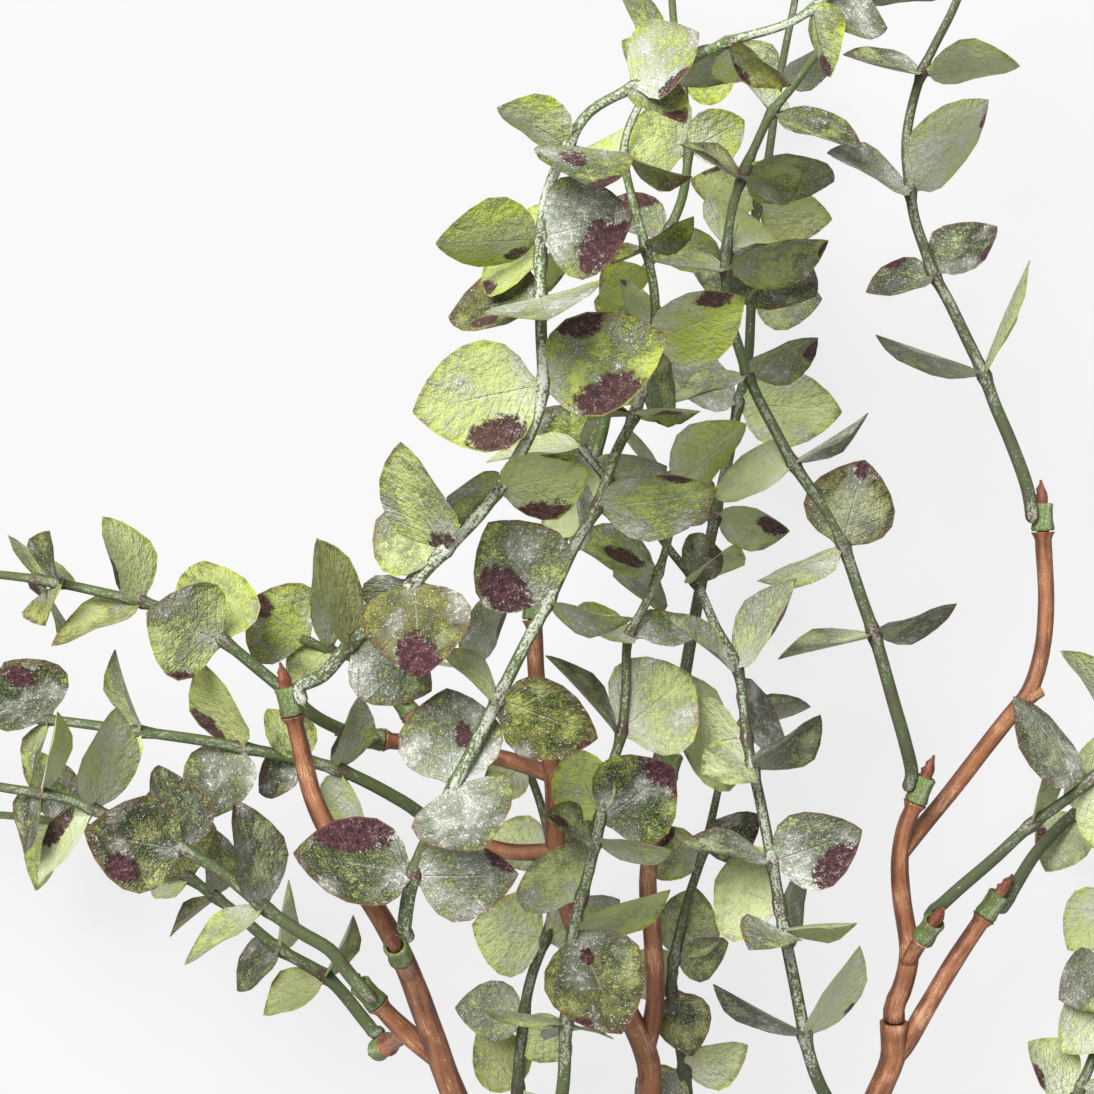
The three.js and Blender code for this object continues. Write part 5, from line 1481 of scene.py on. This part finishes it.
@dataclass
class Bark:
    """One brown piece: its arms with lips, pegs, buds, plugs and socket mouths."""

    plan: TwigPlan
    sides: int = 16
    step: float = 2.6
    lump: float = 0.025
    slim: float = 0.88
    scale_depth: float = 0.16
    lip_rings: tuple[tuple[float, float], ...] = ((0.8, 2.45), (1.4, 2.75), (1.8, 3.05))
    bud_rings: tuple[tuple[float, float], ...] = ((0.5, 1.75), (1.6, 1.35), (2.8, 1.15), (4.0, 0.5))
    bud_start: float = 1
    bud_fade: float = 2
    bud_slim: float = 0.2
    lip_round: float = 0.4
    socket_slim: float = 0.2
    plug_run: float = 4
    flare_power: int = 8
    lump_lengths: tuple[float, float, float] = (7.3, 4.1, 9)
    scale_count: int = 3
    scale_twist: float = 2.3
    grain_step: float = 37
    grain_radius: float = 3.0

    def peg_rings(self) -> list[tuple[float, float]]:
        """Rings past an arm's end: lip, peg, and a bud with rounded shoulders."""
        top = LIP_LENGTH + GAP + COLLAR_LENGTH + self.bud_start
        rings = [*self.lip_rings, (LIP_LENGTH, LIP_RADIUS - self.lip_round)]
        rings += [(LIP_LENGTH, PEG_RADIUS), (top, PEG_RADIUS)]
        rings += [(top + distance, radius) for distance, radius in self.bud_rings]
        return rings + [(top + BUD_LENGTH, BUD_TIP_RADIUS - self.bud_slim)]

    def arm_points(self, arm: Arm, socket: Optional[Seat]) -> list[np.ndarray]:
        """Route of an arm, short of its lip and in line with the socket at its foot.

        Args:
            arm: The arm.
            socket: The socket that its plug sits in, if any.

        Returns:
            The points in mm.
        """
        points = [placed(spot) for spot in arm.route]
        if arm.holds:
            points[-1] = points[-1] - SEATS[arm.holds].axis * LIP_LENGTH
        if socket is not None:
            foot = socket.end + socket.axis * 2 * GAP
            points[:1] = [foot, foot + socket.axis * self.plug_run]
        return points

    def add_arm(self, draft: MeshDraft, arm: Arm, socket: Optional[Seat], number: int) -> Seat:
        """Adds one arm: a bar of slowly changing radius, with rings added past its ends.

        The radius is the straight taper, plus the eighth power of the travel on a sleeve,
        times slow lumps made of sines of the travel and the angle.

        Args:
            draft: The mesh draft.
            arm: The arm.
            socket: The socket at its foot, if any.
            number: Seed of its lumps.

        Returns:
            The arm's end and direction.
        """
        points = self.arm_points(arm, socket)
        curve = SmoothCurve(points)
        steps = step_count(curve.length, self.step)
        share = np.linspace(0, 1, steps + 1)
        flare = SLEEVE_EXTRA if arm.socket else 0.0
        taper = arm.radii[0] + (arm.radii[1] - arm.radii[0]) * share
        taper = taper + flare * share**self.flare_power
        travel = share * curve.length
        angles = np.linspace(0, 2 * math.pi, self.sides, endpoint=False)
        first, second, third = (travel[:, None] / length for length in self.lump_lengths)
        lumps = np.sin(first + 2 * angles + number) * np.cos(second + number)
        lumps = lumps + np.sin(3 * angles + third)
        radii = self.slim * taper[:, None] * (1 + self.lump * lumps)
        centres = curve.spaced(share)
        tangents = curve.tangent(share)
        bud = np.zeros(len(share))
        if socket is not None:
            centres, tangents, radii, travel, bud = self.extended(
                centres, tangents, radii, travel, bud, [(-PLUG_LENGTH, PLUG_RADIUS), (0.0, PLUG_RADIUS)], 0)
        after: list[tuple[float, float]] = []
        if arm.holds:
            after = self.peg_rings()
        elif arm.socket:
            bore = SOCKET_RADIUS - self.socket_slim
            after = [(0.0, bore), (-PLUG_LENGTH - GAP, bore)]
        if after:
            centres, tangents, radii, travel, bud = self.extended(
                centres, tangents, radii, travel, bud, after, len(centres))
        rings, angles = bar_rings(centres, tangents, radii)
        values = {
            "grain": grain_field(
                travel + self.grain_step * number, angles, self.grain_radius)[None],
            "node": bud[:, None],
            # Cosine round the bar, which the bark finish uses for painted shade at the sides and a painted
            # highlight on top
            "across": np.cos(angles),
        }
        draft.add_lofts(rings[None], values, finish=0)
        return Seat(points[-1], unit(points[-1] - points[-2]))

    def extended(
        self,
        centres: np.ndarray,
        tangents: np.ndarray,
        radii: np.ndarray,
        travel: np.ndarray,
        bud: np.ndarray,
        extra: Sequence[tuple[float, float]],
        at: int,
    ) -> tuple[np.ndarray, ...]:
        """The bar's arrays with straight rings added before its foot or past its end.

        Args:
            centres: Ring centres.
            tangents: Ring directions.
            radii: Ring radii.
            travel: Distance of each ring.
            bud: Bud share of each ring.
            extra: Distance past the end and radius of each added ring.
            at: 0 to add before the foot, or the ring count to add past the end.

        Returns:
            The five arrays with the rings added.
        """
        edge = 0 if at == 0 else at - 1
        distance = np.array([ring[0] for ring in extra])
        radius = np.array([ring[1] for ring in extra])
        top = LIP_LENGTH + GAP + COLLAR_LENGTH
        place = slice(at, at)
        angles = np.linspace(0, 2 * math.pi, self.sides, endpoint=False)
        depth = np.where(distance > top + self.bud_start, self.scale_depth, 0)
        twist = self.scale_count * angles + self.scale_twist * distance[:, None]
        scales = 1 + depth[:, None] * np.sin(twist)
        added = centres[edge] + distance[:, None] * tangents[edge]
        return (
            np.vstack([centres[:at], added, centres[place.stop:]]),
            np.vstack([tangents[:at], np.repeat(tangents[edge:edge + 1], len(extra), axis=0), tangents[at:]]),
            np.vstack([radii[:at], radius[:, None] * scales, radii[at:]]),
            np.concatenate([travel[:at], travel[edge] + distance, travel[at:]]),
            np.concatenate([bud[:at], np.clip((distance - top) / self.bud_fade, 0, 1), bud[at:]]),
        )

    def dress(self, material: bpy.types.Material, sockets: list[Seat]) -> bpy.types.Object:
        """Builds the brown piece in place of its solid.

        Args:
            material: The bark material.
            sockets: Sockets made so far, to which this piece's are added.

        Returns:
            The piece.
        """
        draft = MeshDraft("bark_" + self.plan.name)
        made = []
        for index, arm in enumerate(self.plan.arms):
            socket = None
            if index == 0 and self.plan.plug:
                foot = placed(arm.route[0])
                socket = min(sockets, key=lambda seat: float(np.linalg.norm(seat.end - foot)))
            end = self.add_arm(draft, arm, socket, index + len(self.plan.name))
            if arm.socket:
                made.append(end)
        sockets.extend(made)
        piece = draft.build([material])
        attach(piece, "root")
        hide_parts(self.plan.name)
        LOG.info("%s: %d arms, %d faces", piece.name, len(self.plan.arms), len(piece.data.polygons))
        return piece


def srgb(red: int, green: int, blue: int) -> tuple[float, float, float, float]:
    """Linear colour from display values of 0 to 255, by the display's own curve."""
    def linear(value: int) -> float:
        """One channel: a short straight foot, then a power of 2.4."""
        share = value / 255
        return share / 12.92 if share <= 0.04045 else ((share + 0.055) / 1.055) ** 2.4
    return (linear(red), linear(green), linear(blue), 1.0)


Colour = tuple[float, float, float, float]


class Signal:
    """A number on a shader socket; arithmetic on it adds Math nodes."""

    def __init__(self, board: "Board", socket: bpy.types.NodeSocket) -> None:
        """Wraps a socket of a board.

        Args:
            board: The board that the socket is on.
            socket: The output socket.
        """
        self.board = board
        self.socket = socket

    def _math(self, operation: str, *values: Union["Signal", float]) -> "Signal":
        """The result of one Math node."""
        inputs = dict(enumerate(values))
        node = self.board.node("ShaderNodeMath", {"operation": operation}, inputs)
        return Signal(self.board, node.outputs[0])

    def __add__(self, other: Union["Signal", float]) -> "Signal":
        """Sum."""
        return self._math("ADD", self, other)

    __radd__ = __add__

    def __sub__(self, other: Union["Signal", float]) -> "Signal":
        """Difference."""
        return self._math("SUBTRACT", self, other)

    def __rsub__(self, other: float) -> "Signal":
        """Difference from a number on the left."""
        return self._math("SUBTRACT", other, self)

    def __mul__(self, other: Union["Signal", float]) -> "Signal":
        """Product."""
        return self._math("MULTIPLY", self, other)

    def __abs__(self) -> "Signal":
        """Size without sign."""
        return self._math("ABSOLUTE", self)

    def least(self, other: Union["Signal", float]) -> "Signal":
        """The smaller of two."""
        return self._math("MINIMUM", self, other)

    def wave(self) -> "Signal":
        """Fraction folded to a triangle between 0 and 1, one per whole number."""
        return self._math("PINGPONG", self, 0.5) * 2

    def rising(self, low: float, high: float) -> "Signal":
        """Smooth step from 0 at low to 1 at high; high below low makes it fall.

        Args:
            low: Value where the result is 0.
            high: Value where the result is 1.

        Returns:
            The stepped signal.
        """
        node = self.board.node(
            "ShaderNodeMapRange",
            {"interpolation_type": "SMOOTHSTEP"},
            {"Value": self, "From Min": low, "From Max": high},
        )
        return Signal(self.board, node.outputs[0])


class Board:
    """The node board of one material, and the few kinds of node that it uses."""

    def __init__(self, name: str) -> None:
        """Makes a material with a bare Principled shader.

        Args:
            name: Name of the material.
        """
        self.material = bpy.data.materials.new(name)
        self.material.use_nodes = True
        self.nodes = self.material.node_tree.nodes
        self.links = self.material.node_tree.links
        self.shader = self.nodes["Principled BSDF"]

    def node(self, kind: str, settings: dict[str, Any], inputs: dict[Any, Any]) -> bpy.types.Node:
        """Adds a node, sets its settings first and then its sockets.

        Args:
            kind: The node's type name.
            settings: Attributes of the node.
            inputs: A signal, socket or plain value for each input, by name or number.

        Returns:
            The node.
        """
        node = self.nodes.new(kind)
        for key, value in settings.items():
            setattr(node, key, value)
        for key, value in inputs.items():
            self.feed(node.inputs[key], value)
        return node

    def feed(self, socket: bpy.types.NodeSocket, value: Any) -> None:
        """Links a signal or socket to an input, or sets a plain value on it."""
        if isinstance(value, Signal):
            value = value.socket
        if isinstance(value, bpy.types.NodeSocket):
            self.links.new(value, socket)
        else:
            socket.default_value = value

    def value(self, name: str) -> Signal:
        """A number that the mesh carries at its points."""
        node = self.node("ShaderNodeAttribute", {"attribute_name": name}, {})
        return Signal(self, node.outputs["Fac"])

    def vector(self, name: str, scale: Sequence[float] = (1, 1, 1)) -> bpy.types.NodeSocket:
        """A vector that the mesh carries at its points, scaled by axis."""
        source = self.node("ShaderNodeAttribute", {"attribute_name": name}, {})
        node = self.node(
            "ShaderNodeMapping", {}, {"Vector": source.outputs["Vector"], "Scale": tuple(scale)})
        return node.outputs[0]

    def length(self, name: str) -> Signal:
        """Length of a vector that the mesh carries at its points."""
        node = self.node("ShaderNodeVectorMath", {"operation": "LENGTH"}, {0: self.vector(name)})
        return Signal(self, node.outputs["Value"])

    def place(self) -> bpy.types.NodeSocket:
        """Object coordinates, in metres."""
        return self.node("ShaderNodeTexCoord", {}, {}).outputs["Object"]

    def noise(self, vector: bpy.types.NodeSocket, size: float, detail: float = 2.0) -> Signal:
        """Cloudy noise between about 0.2 and 0.8.

        Args:
            vector: Where it is read.
            size: Width of a feature in the vector's units.
            detail: Octaves.

        Returns:
            The noise.
        """
        node = self.node(
            "ShaderNodeTexNoise", {}, {"Vector": vector, "Scale": 1 / size, "Detail": detail})
        return Signal(self, node.outputs[0])

    def mix(self, share: Union[Signal, float], first: Any, second: Any) -> bpy.types.NodeSocket:
        """Colour between two colours.

        Args:
            share: 0 gives the first, 1 the second.
            first: Colour or socket.
            second: Colour or socket.

        Returns:
            The mixed colour's socket.
        """
        node = self.node("ShaderNodeMix", {"data_type": "RGBA"}, {0: share, 6: first, 7: second})
        return node.outputs[2]

    def finish(
        self, colour: Any, roughness: Any, height: Optional[Signal], depth: float, shine: float = 0.25
    ) -> None:
        """Feeds the shader with its colour, roughness and relief.

        Args:
            colour: Base colour.
            roughness: Roughness.
            height: Relief between 0 and 1, if any.
            depth: Depth of the relief in metres.
            shine: Level of the mirror-like part.
        """
        self.shader.inputs["Specular IOR Level"].default_value = shine
        self.feed(self.shader.inputs["Base Color"], colour)
        self.feed(self.shader.inputs["Roughness"], roughness)
        if height is not None:
            inputs = {"Height": height, "Distance": depth, "Strength": 1.0}
            bump = self.node("ShaderNodeBump", {}, inputs)
            self.feed(self.shader.inputs["Normal"], bump.outputs[0])


@dataclass(frozen=True)
class LeafFinish:
    """Powdered leaf: mottled green, pale speckle, purple blotches, light rim and midrib.

    A pale powder veil in soft patches also paints the leaves' sheen, and the listed
    leaf shades hold painted shade as well as each leaf's own tone.
    """

    grey: Colour = srgb(186, 194, 142)
    fresh: Colour = srgb(174, 188, 72)
    dark_grey: Colour = srgb(34, 42, 22)
    dark_fresh: Colour = srgb(42, 56, 12)
    powder: Colour = srgb(232, 235, 222)
    blotch: Colour = srgb(92, 50, 58)
    deep: Colour = srgb(48, 24, 30)
    bruise: Colour = srgb(88, 62, 48)
    rim: Colour = srgb(182, 188, 88)
    dry: Colour = srgb(112, 84, 54)
    under: Colour = srgb(168, 172, 150)
    olive: Colour = srgb(150, 136, 62)
    patch_size: float = 0.011
    cloud_size: float = 0.005
    mottle_size: float = 0.0015
    speck_size: float = 0.00045
    olive_share: float = 0.3
    bruise_share: float = 0.6
    under_share: float = 0.45
    powder_veil_and_sheen_share: float = 0.46
    powder_share: float = 0.6
    rib_share: float = 0.16
    stain_share: float = 0.96
    rim_share: float = 0.5
    vein_count: float = 7.5
    vein_slant: float = 2.2
    roughness: float = 0.6
    relief: float = 0.0014

    def material(self) -> bpy.types.Material:
        """Builds the leaf material.

        Returns:
            The material.
        """
        board = Board("leaf")
        place = board.place()
        fresh, luck, dust = board.value("fresh"), board.value("luck"), board.value("node")
        edge, under = board.value("edge"), board.value("under")
        along, across = board.value("along"), abs(board.value("across"))
        patch = board.noise(place, self.patch_size, 1.0) - 0.5
        cloud = board.noise(place, self.cloud_size) - 0.5
        mottle = board.noise(place, self.mottle_size, 3.0) - 0.5
        speck = board.noise(place, self.speck_size) - 0.5
        tone = fresh + 0.02 + cloud * 0.3 + patch * 0.25 + edge.rising(3.0, 0.0) * 0.35
        tone = tone.rising(0.0, 1.0)
        light = board.mix(tone, self.grey, self.fresh)
        dark = board.mix(tone, self.dark_grey, self.dark_fresh)
        # Darkness from noise and from luck; luck is a draw or the listed shade, which holds painted shade
        shade = patch * 1.3 + cloud * 1.0 + mottle * 1.0 + speck * 1.5 + (luck - 0.5) * 0.8
        colour = board.mix((shade + 0.43).rising(0.0, 0.9), light, dark)
        olive = (dust + cloud * 0.5).rising(0.18, 0.0)
        colour = board.mix(olive * self.olive_share, colour, self.olive)
        brink = edge.rising(3.5, 0.0) * 0.3 + along.rising(0.5, 1.0) * 0.1
        bruise = brink * 1.5 + patch * 0.9 + cloud * 1.0 + mottle * 0.8 + luck * 0.3
        bruise = bruise.rising(0.36, 0.78)
        colour = board.mix(bruise * self.bruise_share, colour, self.bruise)
        colour = board.mix(under * self.under_share, colour, self.under)
        # Pale powder veil, which also paints the leaves' soft sheen in patches
        powder_veil_and_sheen = dust * 0.4 + patch * 1.5 + cloud * 0.9 + mottle * 0.2 + along.rising(0.6, 0.0) * 0.3
        powder_veil_and_sheen = powder_veil_and_sheen.rising(0.12, 1.0)
        colour = board.mix(powder_veil_and_sheen * self.powder_veil_and_sheen_share, colour, self.powder)
        powder = (speck * 1.6 + mottle * 0.8 + powder_veil_and_sheen * 0.25).rising(0.12, 0.48)
        colour = board.mix(powder * self.powder_share, colour, self.powder)
        rib = (across + mottle * 0.04).rising(0.04, 0.0) * along.rising(0.9, 0.4)
        colour = board.mix(rib * self.rib_share, colour, self.powder)
        reach = board.length("stain").least(board.length("spot"))
        stain = (reach + cloud * 0.8 + mottle * 0.8 + speck * 0.5).rising(1.08, 0.82)
        marble = (mottle * 1.4 + speck * 1.4 + 0.5).rising(0.2, 0.8)
        stained = board.mix(marble, self.deep, self.blotch)
        colour = board.mix(stain * (self.stain_share - powder * 0.4), colour, stained)
        rim = (edge + mottle * 1.6).rising(0.55, 0.05)
        brown = (luck + cloud * 1.2).rising(0.3, 0.7)
        colour = board.mix(rim * self.rim_share, colour, board.mix(brown, self.rim, self.dry))
        veins = (along * self.vein_count - across * self.vein_slant).wave().rising(0.75, 1.0)
        veins = veins * across.rising(0.02, 0.2)
        height = speck * 0.25 + mottle * 0.7 + cloud * 0.7 - veins * 0.1 - rib * 0.2
        board.finish(colour, self.roughness + powder * 0.2, height, self.relief)
        return board.material


@dataclass(frozen=True)
class StemFinish:
    """Green stem with short flecks of pale powder and purple at the nodes.

    Its sides carry painted shade: purple freckles gather there and the powder thins,
    so the top reads lighter.
    """

    grey: Colour = srgb(74, 84, 56)
    fresh: Colour = srgb(94, 114, 54)
    powder: Colour = srgb(212, 216, 200)
    node: Colour = srgb(80, 50, 54)
    grain_pull: float = 0.28
    streak_size: float = 0.8
    drift_size: float = 5.0
    grit_size: float = 0.0006
    cloud_size: float = 0.005
    freckle_and_side_shade_share: float = 0.6
    node_share: float = 0.75
    least_powder: float = 0.26
    more_powder: float = 0.54
    roughness: float = 0.6
    relief: float = 0.0004

    def material(self) -> bpy.types.Material:
        """Builds the stem material.

        Returns:
            The material.
        """
        board = Board("stem")
        grain = board.vector("grain", (1, 1, self.grain_pull))
        place = board.place()
        streak = board.noise(grain, self.streak_size, 3.0) - 0.5
        # Painted shade: side is 1 where the stem turns to its sides; there it adds purple freckles and takes
        # powder away, which leaves the top lighter
        side = abs(board.value("across")).rising(0.45, 1.0)
        grit = board.noise(place, self.grit_size) - 0.5
        cloud = board.noise(place, self.cloud_size) - 0.5
        thick = board.value("luck")
        tone = (board.value("fresh") + cloud * 0.6).rising(0.0, 1.0)
        colour = board.mix(tone, self.grey, self.fresh)
        freckle_and_side_shade = (grit * 1.4 + cloud * 1.3 + streak * 0.8 + side * 0.16).rising(0.04, 0.4)
        colour = board.mix(freckle_and_side_shade * self.freckle_and_side_shade_share, colour, self.node)
        stain = (board.value("node") * 0.8 + cloud * 1.4 + grit * 0.8).rising(0.5, 0.9)
        colour = board.mix(stain * self.node_share, colour, self.node)
        drift = board.noise(grain, self.drift_size, 1.0) - 0.5
        powder = streak * 1.0 + drift * 1.2 + grit * 1.3 + thick * 0.25 - side * 0.26
        powder = powder.rising(-0.02, 0.42)
        share = self.least_powder + thick * self.more_powder
        colour = board.mix(powder * share, colour, self.powder)
        height = streak * 0.4 + grit * 0.35 + cloud * 0.3
        board.finish(colour, self.roughness, height, self.relief)
        return board.material


@dataclass(frozen=True)
class BarkFinish:
    """Brown bark, painted shade at its sides, lighter lengthwise streaks and dark red buds.

    The streaks thin out at the sides, so they also paint a highlight along the top.
    """

    brown: Colour = srgb(150, 98, 66)
    # deep: dark brown of the streaks and of the painted shade at the sides
    deep: Colour = srgb(92, 54, 38)
    # pale: colour of the light streaks, which also paints a highlight along the top
    pale: Colour = srgb(212, 174, 138)
    bud: Colour = srgb(84, 38, 34)
    scale: Colour = srgb(150, 88, 58)
    grain_pull: float = 0.12
    streak_size: float = 1.3
    fine_size: float = 0.5
    cloud_size: float = 0.008
    grit_size: float = 0.0005
    streak_and_highlight_share: float = 0.55
    bud_share: float = 0.95
    roughness: float = 0.5
    relief: float = 0.0004
    shine: float = 0.4

    def material(self) -> bpy.types.Material:
        """Builds the bark material.

        Returns:
            The material.
        """
        board = Board("bark")
        grain = board.vector("grain", (1, 1, self.grain_pull))
        place = board.place()
        streak = board.noise(grain, self.streak_size, 3.0)
        fine = board.noise(grain, self.fine_size)
        cloud = board.noise(place, self.cloud_size)
        grit = board.noise(place, self.grit_size)
        # Painted shade: side is 1 where the bar turns to its sides, and it darkens the brown there
        side = abs(board.value("across")).rising(0.35, 1.0)
        tone = streak * 0.7 + (grit - 0.5) * 0.3 + (cloud - 0.5) * 0.5 - side * 0.24
        colour = board.mix(tone.rising(0.05, 0.42), self.deep, self.brown)
        # Light streaks, thinned at the sides, so that they also paint a highlight along the top
        light = (fine + (cloud - 0.5) * 1.2 + (grit - 0.5) * 0.5 - side * 0.2).rising(0.5, 0.86)
        colour = board.mix(light * self.streak_and_highlight_share, colour, self.pale)
        bud = board.value("node") * (0.7 + fine * 0.4)
        scales = board.mix((grit * 0.6 + fine * 0.7).rising(0.5, 0.85), self.bud, self.scale)
        colour = board.mix(bud.rising(0.2, 0.6) * self.bud_share, colour, scales)
        height = streak * 0.6 + fine * 0.4 + grit * 0.2
        board.finish(colour, self.roughness, height, self.relief, self.shine)
        return board.material


@dataclass(frozen=True)
class Studio:
    """Plain pale floor, soft light and the camera above the branch."""

    floor_half: float = 12.0
    floor_colour: Colour = srgb(92, 92, 92)
    floor_glow: float = 0.76
    floor_roughness: float = 0.9
    sky_strength: float = 0.56
    sun_strength: float = 4.9
    sun_angle: float = 34.0
    sun_tilt: float = 36.0
    sun_turn: float = 215.0

    def lay_floor(self) -> None:
        """Lays a flat square floor at height zero, lit a little from within."""
        half = self.floor_half
        corners = [(-half, -half, 0), (half, -half, 0), (half, half, 0), (-half, half, 0)]
        mesh = bpy.data.meshes.new("floor")
        mesh.from_pydata(corners, [], [(0, 1, 2, 3)])
        board = Board("floor")
        board.finish(self.floor_colour, self.floor_roughness, None, 0.0, 0.0)
        board.shader.inputs["Emission Color"].default_value = (1, 1, 1, 1)
        board.shader.inputs["Emission Strength"].default_value = self.floor_glow
        mesh.materials.append(board.material)
        floor = bpy.data.objects.new("floor", mesh)
        bpy.context.scene.collection.objects.link(floor)

    def light(self) -> None:
        """Adds an even pale sky and one wide, soft sun from the upper left."""
        scene = bpy.context.scene
        world = bpy.data.worlds.new("sky")
        world.use_nodes = True
        sky = world.node_tree.nodes["Background"]
        sky.inputs["Color"].default_value = (1, 1, 1, 1)
        sky.inputs["Strength"].default_value = self.sky_strength
        scene.world = world
        scene.view_settings.view_transform = "Standard"
        sun = bpy.data.lights.new("sun", "SUN")
        sun.energy = self.sun_strength
        sun.angle = math.radians(self.sun_angle)
        sun_object = bpy.data.objects.new("sun", sun)
        sun_object.rotation_euler = (math.radians(self.sun_tilt), 0, math.radians(self.sun_turn))
        scene.collection.objects.link(sun_object)

    def look(self) -> None:
        """Sets the camera at the picture's viewpoint, looking straight down."""
        data = bpy.data.cameras.new("camera")
        data.lens = SENSOR_WIDTH * FOCAL_PIXELS / PICTURE_SIZE
        data.sensor_width = SENSOR_WIDTH
        camera = bpy.data.objects.new("camera", data)
        camera.location = (np.array([0.0, 0.0, LENS_HEIGHT]) - ORIGIN) * MM
        bpy.context.scene.collection.objects.link(camera)
        bpy.context.scene.camera = camera


def main() -> None:
    """Builds the brown pieces, the leafy shoots and the stage, in order."""
    logging.basicConfig(level=logging.INFO, format="%(message)s")
    bark = BarkFinish().material()
    sockets: list[Seat] = []
    for twig in TWIGS:
        Bark(twig).dress(bark, sockets)
    curves = [shoot_curve(plan) for plan in SHOOTS]
    leaves = LeafPlacer(curves).place_all()
    finishes = [LeafFinish().material(), StemFinish().material()]
    for number, plan in enumerate(SHOOTS):
        Foliage(plan, curves[number], leaves[number], number).dress(finishes)
    studio = Studio()
    studio.lay_floor()
    studio.light()
    studio.look()


if __name__ == "__main__":
    main()
